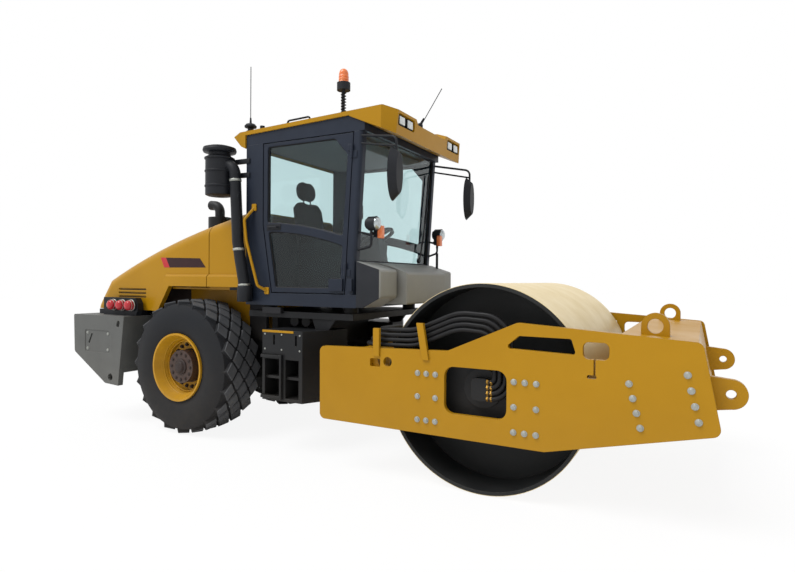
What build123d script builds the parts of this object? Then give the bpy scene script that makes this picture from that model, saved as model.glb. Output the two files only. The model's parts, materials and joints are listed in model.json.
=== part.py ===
"""Single-drum road roller, built as separate named parts. Millimetres, X forward, Y left, Z up."""
import os
from math import cos, pi, radians, sin

from build123d import *

# Driving dimensions of the front half
WHEELBASE = 3300
DRUM_D = 1600
DRUM_W = 2130
DRUM_WALL = 30
DRUM_SIDE = 45
DRUM_GAP = 50
PLATE_T = 40
PLATE_REAR = 225
PLATE_ROUND = 50
CROSS_L = 280
BEAM_GAP = 190
HITCH_Z = 720
PIN_R = 60
RUN = 0.05
HOSE_R = 18
HOSE_PITCH = 42

# Driving dimensions of the rear half
TYRE_D = 1400
TYRE_W = 530
TYRE_OUT = 1060
TREAD = 26
TREAD_PITCHES = 20
RIM_D = 700
RAIL_T = 60
RAIL_GAP = 70
RAIL_RISE = 260
REAR_HANG = 1730
WEIGHT_HALF = 1050
WEIGHT_LOW = 420
ARCH_GAP = 130
FLARE_T = 35
FLARE_H = 130
HOOD_WALL = 20
HOOD_ROUND = 120
SEAM_GAP = 10

# Driving dimensions of the cab
CAB_HALF = 800
CAB_REAR = -950
CAB_FRONT = 362
PLATFORM_RISE = 280
PLATFORM_T = 60
MOUNT_H = 60
SILL_H = 120
CAB_H = 1475
CEILING_H = 137
ROOF_T = 39
ROOF_RISE = 0.036
POST_T = 80
POST_W = 85
LEAN = 0.06
DOOR_T = 50
DOOR_GAP = 10
STILE = 48
GLASS_T = 6

# Places that follow from them
DRUM_X = WHEELBASE / 2
DRUM_R = DRUM_D / 2
DRUM_Z = DRUM_R
DRUM_HALF = DRUM_W / 2
PLATE_IN = DRUM_HALF + DRUM_SIDE
CROSS_FRONT = DRUM_X - DRUM_R - DRUM_GAP
CROSS_REAR = CROSS_FRONT - CROSS_L
CROSS_TOP = DRUM_Z + 235
BEAM_REAR = DRUM_X + DRUM_R + BEAM_GAP
AXLE_X = -WHEELBASE / 2
TYRE_R = TYRE_D / 2
WHEEL_Y = TYRE_OUT - TYRE_W / 2
RAIL_OUT = TYRE_OUT - TYRE_W - RAIL_GAP
RAIL_IN = RAIL_OUT - RAIL_T
RAIL_TOP = TYRE_R + RAIL_RISE
EAR_Y = RAIL_IN - 115
WEIGHT_REAR = AXLE_X - REAR_HANG
WEIGHT_FRONT = AXLE_X - TYRE_R - 140
FRAME_REAR = WEIGHT_REAR + 480
ARCH_Z = TYRE_D + ARCH_GAP
HOOD_LOW = ARCH_Z - 280
WEIGHT_TOP = HOOD_LOW - 60
HOOD_TOP = ARCH_Z + 655
HOOD_HALF = CAB_HALF - 20
HOOD_BACK = WEIGHT_REAR + 80
SEAM_X = AXLE_X + 160
COVER_REAR = SEAM_X + SEAM_GAP
COVER_FRONT = CAB_REAR - 10
PLATFORM_LOW = RAIL_TOP + PLATFORM_RISE
CAB_FLOOR = PLATFORM_LOW + PLATFORM_T + MOUNT_H
CAB_SILL = CAB_FLOOR + SILL_H
CAB_TOP = CAB_SILL + CAB_H
INNER = CAB_HALF - POST_T
KNUCKLE = 14
HINGE_PIN = 7
LOWER_HINGE = CAB_SILL + 170
UPPER_HINGE = CAB_TOP - 235


def across(side, inner, thick):
    """Upright plane whose extrusion by thick fills inner to inner + thick on that side."""
    return Plane.XZ.offset(inner if side < 0 else -(inner + thick))


def wheel_plane(x, y, z, side):
    """Plane through an axle with its first axis pointing outwards and its second upwards."""
    return Plane(origin=(x, y, z), x_dir=(0, side, 0), z_dir=(side, 0, 0))


def along(line):
    """Plane across the start of a line, for a section swept along it."""
    return Plane(origin=line @ 0, z_dir=line % 0)


def post_edge(z):
    """Rear edge of the leaning front post at height z."""
    return CAB_FRONT - 100 + (z - CAB_SILL - 320) * LEAN


def ceiling_top(x):
    """Sloping top of the ceiling at x, which is the roof's underside."""
    return CAB_TOP + CEILING_H + x * ROOF_RISE


def roof_top(x):
    """Sloping top of the roof's edge at x."""
    return ceiling_top(x) + ROOF_T


def hinge_plane(side, z):
    """Plane across a door's leaning hinge line at height z."""
    return Plane(
        origin=(post_edge(z) - DOOR_GAP / 2, side * (CAB_HALF + KNUCKLE), z),
        x_dir=(1, 0, -LEAN),
        z_dir=(LEAN, 0, 1),
    )


def spin(x, z):
    """Axle line across the machine."""
    return Axis((x, 0, z), (0, 1, 0))


os.makedirs("parts", exist_ok=True)


def save(part, label):
    """Name a part and write it."""
    part.label = label
    export_step(part, "parts/" + label + ".step")


# Front half: side plates with window, slots, hose tabs and brackets for the rubber buffers
FRONT_TOP = (BEAM_REAR + 485, DRUM_Z + 445)
FRONT_LOW = (BEAM_REAR + 595, DRUM_Z - 125)
PLATE_RISE = (DRUM_X + 300, DRUM_Z + 520)
PLATE_FOOT = (DRUM_X - 245, DRUM_Z + 282)
PLATE_LOW = DRUM_Z - 372
PLATE_NOSE = DRUM_X + 498
WINDOW_W = 490
WINDOW_H = 358
WINDOW_ROUND = 75
SIGHT_X = DRUM_X + 840
SIGHT_Z = DRUM_Z + 351
BUFFER_X = (DRUM_X - 415, DRUM_X + 360)
BUFFER_Z = DRUM_Z - 88
BRACKET_T = 25
TAB_T = 30

for side, hand in ((-1, "right"), (1, "left")):
    with BuildPart() as side_plate:
        with BuildSketch(across(side, PLATE_IN, PLATE_T)) as outline:
            Polygon(
                (PLATE_REAR, PLATE_LOW),
                (PLATE_NOSE, PLATE_LOW - 8),
                FRONT_LOW,
                FRONT_TOP,
                PLATE_RISE,
                PLATE_FOOT,
                (PLATE_REAR - 3, DRUM_Z + 250),
            )
            fillet(outline.vertices(), radius=PLATE_ROUND)
            with Locations((DRUM_X - 20, DRUM_Z - 14)):
                RectangleRounded(WINDOW_W, WINDOW_H, WINDOW_ROUND, mode=Mode.SUBTRACT)
            with Locations((SIGHT_X, SIGHT_Z)):
                RectangleRounded(170, 116, 40, mode=Mode.SUBTRACT)
            with Locations((SIGHT_X - 8, SIGHT_Z - 114)):
                Rectangle(12, 124, mode=Mode.SUBTRACT)
            with Locations((SIGHT_X - 26, SIGHT_Z - 176)):
                SlotOverall(62, 24, mode=Mode.SUBTRACT)
            with Locations((PLATE_REAR + 547, DRUM_Z + 146)):
                RectangleRounded(95, 66, 12, mode=Mode.SUBTRACT)
            with Locations((PLATE_REAR + 663, DRUM_Z + 160)):
                Circle(38, mode=Mode.SUBTRACT)
        extrude(amount=PLATE_T)
        with BuildSketch(across(side, PLATE_IN, PLATE_T)) as slot:
            Polygon(
                (DRUM_X + 202, DRUM_Z + 333),
                (DRUM_X + 313, DRUM_Z + 426),
                (DRUM_X + 678, DRUM_Z + 424),
                (DRUM_X + 711, DRUM_Z + 316),
            )
            fillet(slot.vertices(), radius=18)
        extrude(amount=PLATE_T, mode=Mode.SUBTRACT)
        with BuildSketch(across(side, PLATE_IN + 26, TAB_T)):
            with Locations((CROSS_FRONT - 12, DRUM_Z + 313)):
                Rectangle(56, 228)
            Polygon(
                (PLATE_FOOT[0] - 205, DRUM_Z + 200),
                (PLATE_FOOT[0] - 147, DRUM_Z + 200),
                (PLATE_FOOT[0] - 197, DRUM_Z + 485),
                (PLATE_FOOT[0] - 255, DRUM_Z + 485),
            )
        extrude(amount=TAB_T)
        with BuildSketch(across(side, PLATE_IN - BRACKET_T, BRACKET_T)):
            for x in BUFFER_X:
                with Locations((x, BUFFER_Z)):
                    RectangleRounded(190, 430, 30)
        extrude(amount=BRACKET_T)
    save(side_plate.part, "side_plate_" + hand)

# Front beam with tow lugs and lift eyes
BEAM_REAR_TOP = (BEAM_REAR, DRUM_Z + 472)
BEAM_FRONT_TOP = (FRONT_TOP[0] - 25, FRONT_TOP[1] - 2)
BEAM_FRONT_LOW = (FRONT_LOW[0] - 27, FRONT_LOW[1] + 15)
BEAM_REAR_LOW = (BEAM_REAR + 80, DRUM_Z - 200)


def beam_face(z):
    """Slanted front face of the beam at height z."""
    share = (BEAM_FRONT_TOP[1] - z) / (BEAM_FRONT_TOP[1] - BEAM_FRONT_LOW[1])
    return BEAM_FRONT_TOP[0] + (BEAM_FRONT_LOW[0] - BEAM_FRONT_TOP[0]) * share


def beam_top(x):
    """Sloping top of the beam at x."""
    share = (x - BEAM_REAR_TOP[0]) / (BEAM_FRONT_TOP[0] - BEAM_REAR_TOP[0])
    return BEAM_REAR_TOP[1] + (BEAM_FRONT_TOP[1] - BEAM_REAR_TOP[1]) * share


with BuildPart() as front_beam:
    with BuildSketch(Plane.XZ):
        Polygon(BEAM_REAR_TOP, BEAM_FRONT_TOP, BEAM_FRONT_LOW, BEAM_REAR_LOW)
    extrude(amount=PLATE_IN, both=True)
save(front_beam.part, "front_beam")

TOW_R = 95
TOW_T = 50
TOW_HOLE = 30
TOW_ROOT = 110
TOW_X = FRONT_LOW[0] + 50
TOW_Y = PLATE_IN - 160
TOW_Z = DRUM_Z + 110
EYE_R = 90
EYE_T = 40
EYE_HOLE = 50
EYE_X = BEAM_REAR + 198
EYE_Y = PLATE_IN - 190
EYE_Z = beam_top(EYE_X) + 62
with BuildPart() as front_lugs:
    for side in (-1, 1):
        with BuildSketch(across(side, TOW_Y - TOW_T / 2, TOW_T)):
            Polygon(
                (beam_face(TOW_Z + TOW_ROOT), TOW_Z + TOW_ROOT),
                (TOW_X, TOW_Z + TOW_R),
                (TOW_X, TOW_Z - TOW_R),
                (beam_face(TOW_Z - TOW_ROOT), TOW_Z - TOW_ROOT),
            )
            with Locations((TOW_X, TOW_Z)):
                Circle(TOW_R)
                Circle(TOW_HOLE, mode=Mode.SUBTRACT)
        extrude(amount=TOW_T)
    for side in (-1, 1):
        with BuildSketch(across(side, EYE_Y - EYE_T / 2, EYE_T)):
            Polygon(
                (EYE_X - EYE_R, beam_top(EYE_X - EYE_R)),
                (EYE_X + EYE_R, beam_top(EYE_X + EYE_R)),
                (EYE_X + EYE_R, EYE_Z),
                (EYE_X - EYE_R, EYE_Z),
            )
            with Locations((EYE_X, EYE_Z)):
                Circle(EYE_R)
                Circle(EYE_HOLE, mode=Mode.SUBTRACT)
        extrude(amount=EYE_T)
    add(front_beam.part, mode=Mode.SUBTRACT)
save(front_lugs.part, "front_lugs")

# Cross beam behind the drum
with BuildPart() as cross_beam:
    with BuildSketch(Plane.XZ):
        Polygon(
            (CROSS_REAR, DRUM_Z - 330),
            (CROSS_FRONT, DRUM_Z - 350),
            (CROSS_FRONT, DRUM_Z + 100),
            (CROSS_FRONT - 60, CROSS_TOP),
            (CROSS_REAR, CROSS_TOP),
        )
    extrude(amount=PLATE_IN, both=True)
save(cross_beam.part, "cross_beam")

# Hitch with the round bearing housing, the tongue and the ears for the steering rods
TONGUE_HALF = 94
TONGUE_R = 120
BEARING_X = 140
BEARING_R = EAR_Y - 135
EAR_X = 150
EAR_R = 55
EAR_GAP = 30
EAR_T = 25
with BuildPart() as front_hitch:
    with BuildSketch(Plane.YZ.offset(BEARING_X)):
        with Locations((0, HITCH_Z)):
            Circle(BEARING_R)
    extrude(amount=CROSS_REAR - BEARING_X)
    with BuildSketch(Plane.XY.offset(HITCH_Z - TONGUE_HALF)):
        Circle(TONGUE_R)
        with Locations((TONGUE_R * 2 / 3, 0)):
            Rectangle(TONGUE_R * 4 / 3, 2 * TONGUE_R)
    extrude(amount=2 * TONGUE_HALF)
    for low in (HITCH_Z - EAR_GAP - EAR_T, HITCH_Z + EAR_GAP):
        with BuildSketch(Plane.XY.offset(low)):
            with Locations((EAR_X, 0)):
                SlotOverall(2 * (EAR_Y + EAR_R), 2 * EAR_R, rotation=90)
        extrude(amount=EAR_T)
    with BuildSketch(Plane.XY.offset(HITCH_Z - 2 * BEARING_R)):
        Circle(PIN_R + RUN)
    extrude(amount=4 * BEARING_R, mode=Mode.SUBTRACT)
save(front_hitch.part, "front_hitch")

# Drum: rolled shell, two heads set in from the edges, hub tubes
HEAD_IN = DRUM_HALF - 375
HEAD_T = 25
HEAD_R = DRUM_R - 5
HUB_BORE = 150
HUB_OUT = 205
HUB_W = 100
with BuildPart() as drum:
    with BuildSketch(wheel_plane(DRUM_X, 0, DRUM_Z, 1)):
        with Locations((0, DRUM_R - DRUM_WALL / 2)):
            Rectangle(DRUM_W, DRUM_WALL)
        for side in (-1, 1):
            with Locations((side * (HEAD_IN + HEAD_T / 2), (HUB_BORE + HEAD_R) / 2)):
                Rectangle(HEAD_T, HEAD_R - HUB_BORE)
            with Locations((side * (HEAD_IN + HEAD_T - 5), (HUB_BORE + HUB_OUT) / 2)):
                Rectangle(HUB_W, HUB_OUT - HUB_BORE)
    revolve(axis=spin(DRUM_X, DRUM_Z))
save(drum.part, "drum")

# Drum carriers: plate, housing and journal on each side, with the drive motor outside
CARRIER_IN = DRUM_HALF - 105
CARRIER_T = 40
HOUSING_IN = HEAD_IN + 80
HOUSING_R = 230
MOTOR_W = 140
MOTOR_H = 170
MOTOR_L = PLATE_IN - 20 - CARRIER_IN - CARRIER_T
with BuildPart() as drum_carriers:
    for side in (-1, 1):
        with BuildSketch(across(side, CARRIER_IN, CARRIER_T)):
            with Locations((DRUM_X - 15, DRUM_Z - 40)):
                RectangleRounded(960, 480, 60)
        extrude(amount=CARRIER_T)
        with BuildSketch(across(side, HOUSING_IN, CARRIER_IN - HOUSING_IN)):
            with Locations((DRUM_X, DRUM_Z)):
                Circle(HOUSING_R)
        extrude(amount=CARRIER_IN - HOUSING_IN)
        with BuildSketch(across(side, HEAD_IN - 40, HOUSING_IN - HEAD_IN + 40)):
            with Locations((DRUM_X, DRUM_Z)):
                Circle(HUB_BORE - RUN)
        extrude(amount=HOUSING_IN - HEAD_IN + 40)
        with BuildSketch(across(side, CARRIER_IN + CARRIER_T, 30)):
            with Locations((DRUM_X, DRUM_Z)):
                Circle(HUB_BORE)
        extrude(amount=30)
        with BuildSketch(across(side, CARRIER_IN + CARRIER_T, MOTOR_L)):
            with Locations((DRUM_X, DRUM_Z)):
                RectangleRounded(MOTOR_W, MOTOR_H, 40)
        extrude(amount=MOTOR_L)
save(drum_carriers.part, "drum_carriers")

BUFFER_L = PLATE_IN - BRACKET_T - CARRIER_IN - CARRIER_T
BUFFER_R = 52
with BuildPart() as buffers:
    for side in (-1, 1):
        with BuildSketch(across(side, CARRIER_IN + CARRIER_T, BUFFER_L)):
            for x in BUFFER_X:
                for z in (BUFFER_Z - 112, BUFFER_Z, BUFFER_Z + 112):
                    with Locations((x, z)):
                        Circle(BUFFER_R)
        extrude(amount=BUFFER_L)
save(buffers.part, "rubber_buffers")

# Hoses from the cross beam over the plate's shoulder, down to the front of each motor
HOSE_Y = PLATE_IN - DRUM_SIDE / 2
HOSES = 4
with BuildPart() as drum_hoses:
    for side in (-1, 1):
        for k in range(HOSES):
            lift = HOSE_PITCH * k
            start_x = CROSS_REAR + 90 + lift
            fall_x = DRUM_X + MOTOR_W / 2 + 43 + lift
            port_z = DRUM_Z + HOSE_PITCH * (HOSES - 1) / 2 - lift
            with BuildLine() as route:
                FilletPolyline(
                    (start_x, side * (PLATE_IN - 590), CROSS_TOP),
                    (start_x, side * (PLATE_IN - 590), CROSS_TOP + 50 + lift),
                    (start_x, side * HOSE_Y, CROSS_TOP + 50 + lift),
                    (DRUM_X - 540, side * HOSE_Y, CROSS_TOP + 62 + lift),
                    (DRUM_X - 180, side * HOSE_Y, CROSS_TOP + 215 + lift),
                    (fall_x, side * HOSE_Y, CROSS_TOP + 190 + lift),
                    (fall_x, side * HOSE_Y, port_z),
                    (DRUM_X + MOTOR_W / 2, side * HOSE_Y, port_z),
                    radius=[42 + lift, 150, 400, 380, 130 + 0.7 * lift, 38 + 0.95 * lift],
                )
            with BuildSketch(along(route.line)):
                Circle(HOSE_R)
            sweep(path=route.line)
save(drum_hoses.part, "drum_hoses")

# Scrapers before and behind the drum
SCRAPER_GAP = 7
SCRAPER_TURN = radians(27.5)
BLADE_X = DRUM_X - (DRUM_R + SCRAPER_GAP) * cos(SCRAPER_TURN)
BLADE_Z = DRUM_Z - (DRUM_R + SCRAPER_GAP) * sin(SCRAPER_TURN)
with BuildPart() as scrapers:
    with BuildSketch(Plane.XZ):
        Polygon(
            (CROSS_FRONT, DRUM_Z - 330),
            (CROSS_FRONT, DRUM_Z - 280),
            (BLADE_X - 16, BLADE_Z + 22),
            (BLADE_X, BLADE_Z),
        )
    extrude(amount=DRUM_HALF, both=True)
    with BuildSketch(Plane.XZ):
        Polygon(
            BEAM_REAR_LOW,
            (BEAM_REAR_LOW[0] - 4, BEAM_REAR_LOW[1] + 60),
            (DRUM_X + DRUM_R - 10, BEAM_REAR_LOW[1] + 20),
            (DRUM_X + DRUM_R - 10, BEAM_REAR_LOW[1] - 2),
        )
    extrude(amount=DRUM_HALF, both=True)
    add(front_beam.part, mode=Mode.SUBTRACT)
save(scrapers.part, "scrapers")

# Rear half: frame with two rails, forked front and brackets for the steering cylinders
FORK_T = 60
FORK_GAP = TONGUE_HALF + 6
FORK_R = 130
FORK_REAR = -480
RAIL_NOSE = -150
RAIL_LOW = HITCH_Z - 160
BARREL_X = -620
EYE_PIN = 20
with BuildPart() as rear_frame:
    for side in (-1, 1):
        with BuildSketch(across(side, RAIL_IN, RAIL_T)):
            Polygon(
                (RAIL_NOSE, RAIL_LOW),
                (RAIL_NOSE, RAIL_TOP),
                (FRAME_REAR, RAIL_TOP),
                (FRAME_REAR, RAIL_TOP - 310),
                (AXLE_X - 450, RAIL_TOP - 310),
                (AXLE_X - 300, TYRE_R + 130),
                (AXLE_X + 300, TYRE_R + 130),
                (AXLE_X + 500, RAIL_LOW),
            )
        extrude(amount=RAIL_T)
    for low in (HITCH_Z - FORK_GAP - FORK_T, HITCH_Z + FORK_GAP):
        with BuildSketch(Plane.XY.offset(low)):
            Polygon(
                (FORK_REAR, -RAIL_IN - 10),
                (RAIL_NOSE, -RAIL_IN - 10),
                (0, -FORK_R),
                (0, FORK_R),
                (RAIL_NOSE, RAIL_IN + 10),
                (FORK_REAR, RAIL_IN + 10),
            )
            Circle(FORK_R)
            Circle(PIN_R, mode=Mode.SUBTRACT)
        extrude(amount=FORK_T)
    for side in (-1, 1):
        for low in (HITCH_Z - EAR_GAP - EAR_T, HITCH_Z + EAR_GAP):
            with BuildSketch(Plane.XY.offset(low)):
                with Locations((BARREL_X, side * EAR_Y)):
                    Circle(EAR_R)
                with Locations((BARREL_X, side * (EAR_Y + RAIL_IN) / 2)):
                    Rectangle(2 * EAR_R, RAIL_IN - EAR_Y + 20)
            extrude(amount=EAR_T)
        with BuildSketch(Plane.XY.offset(HITCH_Z - EAR_GAP - EAR_T)):
            with Locations((BARREL_X, side * EAR_Y)):
                Circle(EYE_PIN - RUN)
        extrude(amount=2 * (EAR_GAP + EAR_T))
    for x in (FRAME_REAR + 200, AXLE_X + 620):
        with BuildSketch(Plane.YZ.offset(x)):
            with Locations((0, RAIL_TOP - 110)):
                Rectangle(2 * RAIL_IN + 20, 180)
        extrude(amount=RAIL_T)
save(rear_frame.part, "rear_frame")

CAP_R = 95
CAP_T = 25
with BuildPart() as articulation_pin:
    with BuildSketch(Plane.XY.offset(HITCH_Z - FORK_GAP - FORK_T)):
        Circle(PIN_R)
    extrude(amount=2 * (FORK_GAP + FORK_T))
    for low in (HITCH_Z - FORK_GAP - FORK_T - CAP_T, HITCH_Z + FORK_GAP + FORK_T):
        with BuildSketch(Plane.XY.offset(low)):
            Circle(CAP_R)
        extrude(amount=CAP_T)
save(articulation_pin.part, "articulation_pin")

# Steering cylinders
BARREL_R = 45
BARREL_L = 440
ROD_R = 25
ROD_IN = 290
EYE_W = 50
for side, hand in ((-1, "right"), (1, "left")):
    with BuildPart() as barrel:
        with BuildSketch(Plane.XY.offset(HITCH_Z - EYE_W / 2)):
            with Locations((BARREL_X, side * EAR_Y)):
                Circle(BARREL_R)
            with Locations((BARREL_X + 40, side * EAR_Y)):
                Rectangle(60, 60)
        extrude(amount=EYE_W)
        with BuildSketch(Plane.YZ.offset(BARREL_X + 60)):
            with Locations((side * EAR_Y, HITCH_Z)):
                Circle(BARREL_R)
        extrude(amount=BARREL_L)
        with BuildSketch(Plane.YZ.offset(BARREL_X + 80)):
            with Locations((side * EAR_Y, HITCH_Z)):
                Circle(ROD_R + RUN)
        extrude(amount=BARREL_L, mode=Mode.SUBTRACT)
        with BuildSketch(Plane.XY.offset(HITCH_Z - EYE_W)):
            with Locations((BARREL_X, side * EAR_Y)):
                Circle(EYE_PIN)
        extrude(amount=2 * EYE_W, mode=Mode.SUBTRACT)
    save(barrel.part, "steer_barrel_" + hand)
    with BuildPart() as rod:
        with BuildSketch(Plane.YZ.offset(BARREL_X + ROD_IN)):
            with Locations((side * EAR_Y, HITCH_Z)):
                Circle(ROD_R)
        extrude(amount=EAR_X - 30 - BARREL_X - ROD_IN)
        with BuildSketch(Plane.XY.offset(HITCH_Z - EYE_W / 2)):
            with Locations((EAR_X, side * EAR_Y)):
                Circle(BARREL_R)
        extrude(amount=EYE_W)
        with BuildSketch(Plane.XY.offset(HITCH_Z - EYE_W)):
            with Locations((EAR_X, side * EAR_Y)):
                Circle(EYE_PIN)
        extrude(amount=2 * EYE_W, mode=Mode.SUBTRACT)
    save(rod.part, "steer_rod_" + hand)

# Rear axle with differential, pads under the rails and wheel spindles
SPINDLE_R = 90
AXLE_R = 115
DIFF_R = 210
SPINDLE_END = WHEEL_Y + 60
AXLE_END = TYRE_OUT - TYRE_W - 10
with BuildPart() as rear_axle:
    with BuildSketch(wheel_plane(AXLE_X, 0, TYRE_R, 1)):
        Polygon(
            (-SPINDLE_END, 0),
            (-SPINDLE_END, SPINDLE_R),
            (-AXLE_END, SPINDLE_R),
            (-AXLE_END, AXLE_R),
            (-260, AXLE_R),
            (-150, DIFF_R),
            (150, DIFF_R),
            (260, AXLE_R),
            (AXLE_END, AXLE_R),
            (AXLE_END, SPINDLE_R),
            (SPINDLE_END, SPINDLE_R),
            (SPINDLE_END, 0),
        )
    revolve(axis=spin(AXLE_X, TYRE_R))
    for side in (-1, 1):
        with BuildSketch(across(side, RAIL_IN, RAIL_T)):
            with Locations((AXLE_X, TYRE_R + 80)):
                Rectangle(280, 100)
        extrude(amount=RAIL_T)
save(rear_axle.part, "rear_axle")

# Tyres: round-shouldered carcass with five staggered rows of diamond tread blocks
BEAD_R = RIM_D / 2 - 18
TYRE_HALF = TYRE_W / 2
CROWN_R = TYRE_R - TREAD
SHOULDER = (TYRE_HALF - 30, CROWN_R - 34)
BEAD_Y = TYRE_HALF - 20
GROOVE = 20
ROW = (TYRE_W - 20) / 6
BLOCK_ROOT = 60
BLOCK_TAPER = 6
BLOCK_REACH = 0.77 * pi * TYRE_R / TREAD_PITCHES
BLOCK_TOP = (TYRE_R**2 - BLOCK_REACH**2) ** 0.5
STEP = 360 / TREAD_PITCHES
with BuildPart() as tyre:
    with BuildSketch(Plane(origin=(0, 0, 0), x_dir=(0, 1, 0), z_dir=(1, 0, 0))):
        with BuildLine():
            Polyline((-BEAD_Y, RIM_D / 2), (-BEAD_Y, BEAD_R), (BEAD_Y, BEAD_R), (BEAD_Y, RIM_D / 2))
            ThreePointArc((BEAD_Y, RIM_D / 2), (TYRE_HALF, TYRE_R * 0.76), SHOULDER)
            ThreePointArc(SHOULDER, (0, CROWN_R), (-SHOULDER[0], SHOULDER[1]))
            ThreePointArc((-SHOULDER[0], SHOULDER[1]), (-TYRE_HALF, TYRE_R * 0.76), (-BEAD_Y, RIM_D / 2))
        make_face()
    revolve(axis=Axis.Y)
    for row in (-2, -1, 0, 1, 2):
        crown_drop = 10 if abs(row) == 2 else 0
        block_base = Plane(origin=(0, row * ROW, CROWN_R - BLOCK_ROOT), x_dir=(0, 1, 0), z_dir=(0, 0, 1))
        with BuildPart(mode=Mode.PRIVATE) as block:
            with BuildSketch(block_base):
                Polygon(
                    (-ROW + GROOVE / 2, 0),
                    (0, -pi * TYRE_R / TREAD_PITCHES + GROOVE / 2),
                    (ROW - GROOVE / 2, 0),
                    (0, pi * TYRE_R / TREAD_PITCHES - GROOVE / 2),
                )
            extrude(amount=BLOCK_TOP - CROWN_R + BLOCK_ROOT - crown_drop, taper=BLOCK_TAPER)
        turns = [Rotation(0, STEP * (k + row % 2 / 2), 0) for k in range(TREAD_PITCHES)]
        add([turn * block.part for turn in turns])
tyre_solid = tyre.part

# Wheels: the tyre on a rim with a deep dish and planetary hub
RIM_IN = RIM_D / 2 - 20
HUB_R = 170
for side, hand in ((-1, "right"), (1, "left")):
    with BuildPart() as placed_tyre:
        with Locations((AXLE_X, side * WHEEL_Y, TYRE_R)):
            add(tyre_solid)
    save(placed_tyre.part, "tyre_" + hand)
    with BuildPart() as rim:
        with BuildSketch(wheel_plane(AXLE_X, side * WHEEL_Y, TYRE_R, side)):
            Polygon(
                (-BEAD_Y, BEAD_R - 22),
                (-TYRE_HALF - 5, RIM_IN),
                (-TYRE_HALF - 5, RIM_D / 2),
                (-BEAD_Y, RIM_D / 2),
                (-BEAD_Y, BEAD_R),
                (BEAD_Y, BEAD_R),
                (BEAD_Y, RIM_D / 2),
                (TYRE_HALF + 5, RIM_D / 2),
                (TYRE_HALF + 5, RIM_IN),
                (TYRE_HALF - 60, BEAD_R - 30),
                (TYRE_HALF - 120, BEAD_R - 60),
                (TYRE_HALF - 170, BEAD_R - 75),
                (TYRE_HALF - 190, HUB_R),
                (TYRE_HALF - 60, HUB_R),
                (TYRE_HALF - 60, 0),
                (TYRE_HALF - 160, 0),
                (TYRE_HALF - 160, SPINDLE_R + RUN),
                (-TYRE_HALF + 60, SPINDLE_R + RUN),
                (-TYRE_HALF + 60, HUB_R),
                (TYRE_HALF - 230, HUB_R + 20),
                (TYRE_HALF - 215, BEAD_R - 60),
            )
        revolve(axis=spin(AXLE_X, TYRE_R))
    save(rim.part, "rim_" + hand)

# Counterweight: full-width block whose side plates drop lower at the front, with slots and a service panel
TIE_X = WEIGHT_FRONT - 230
TIE_Z = WEIGHT_LOW + 85
TIE_R = 40
CHEEK_T = 60
PANEL_DEPTH = 6
with BuildPart() as counterweight:
    with BuildSketch(Plane.XZ):
        Polygon(
            (WEIGHT_REAR, WEIGHT_TOP),
            (WEIGHT_FRONT, WEIGHT_TOP),
            (WEIGHT_FRONT - 95, WEIGHT_LOW),
            (WEIGHT_FRONT - 320, WEIGHT_LOW + 12),
            (WEIGHT_REAR + 14, WEIGHT_TOP - 433),
        )
    extrude(amount=WEIGHT_HALF, both=True)
    edges = counterweight.edges().filter_by(Axis.Y).sort_by(Axis.X)
    chamfer(edges[0:2], length=14)
    with BuildSketch(Plane.XZ):
        with Locations(((FRAME_REAR + WEIGHT_FRONT) / 2 + 95, WEIGHT_TOP - 370)):
            Rectangle(WEIGHT_FRONT - FRAME_REAR + 190, 1040)
    extrude(amount=RAIL_OUT + 40, both=True, mode=Mode.SUBTRACT)
    with BuildSketch(Plane.XZ):
        with Locations(((WEIGHT_REAR + WEIGHT_FRONT) / 2, WEIGHT_LOW)):
            Rectangle(WEIGHT_FRONT - WEIGHT_REAR + 200, 280)
    extrude(amount=WEIGHT_HALF - CHEEK_T, both=True, mode=Mode.SUBTRACT)
    with BuildSketch(Plane.XZ):
        with Locations((TIE_X, TIE_Z)):
            Circle(TIE_R)
    extrude(amount=WEIGHT_HALF + CHEEK_T, both=True, mode=Mode.SUBTRACT)
    for side in (-1, 1):
        with BuildSketch(across(side, WEIGHT_HALF - PANEL_DEPTH, PANEL_DEPTH)):
            with Locations((WEIGHT_FRONT - 458, WEIGHT_TOP - 295)):
                RectangleRounded(450, 250, 25)
        extrude(amount=PANEL_DEPTH, mode=Mode.SUBTRACT)
        with BuildSketch(across(side, WEIGHT_HALF - 5 * PANEL_DEPTH, 5 * PANEL_DEPTH)):
            with Locations((WEIGHT_FRONT - 590, WEIGHT_TOP - 268)):
                SlotOverall(130, 26, rotation=62)
            with Locations((WEIGHT_FRONT - 98, WEIGHT_TOP - 85)):
                SlotOverall(74, 48, rotation=70)
        extrude(amount=5 * PANEL_DEPTH, mode=Mode.SUBTRACT)
save(counterweight.part, "counterweight")

# Engine as one block on the rails
ENGINE_L = 1000
with BuildPart() as engine:
    with BuildSketch(Plane.XY.offset(RAIL_TOP)):
        with Locations((AXLE_X - 650, 0)):
            Rectangle(ENGINE_L, 2 * RAIL_IN + 60)
    extrude(amount=ARCH_Z + 110 - RAIL_TOP)
save(engine.part, "engine_block")

# Hood: hollow shell with wheel arches, flared lips, side louvres and rear grille, hinged at the seam
HINGE_X = SEAM_X + SEAM_GAP / 2
HINGE_Z = HOOD_TOP + 35
HINGE_Y = 450
LUG_R = 18
HOOD_PIN = 9
HOOD_KNEE = HOOD_LOW + 145
HOOD_CREST = (AXLE_X - 695, ARCH_Z + 400)
ARCH_FOOT = AXLE_X - 590
ARCH_HEAD = AXLE_X - 410


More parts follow.
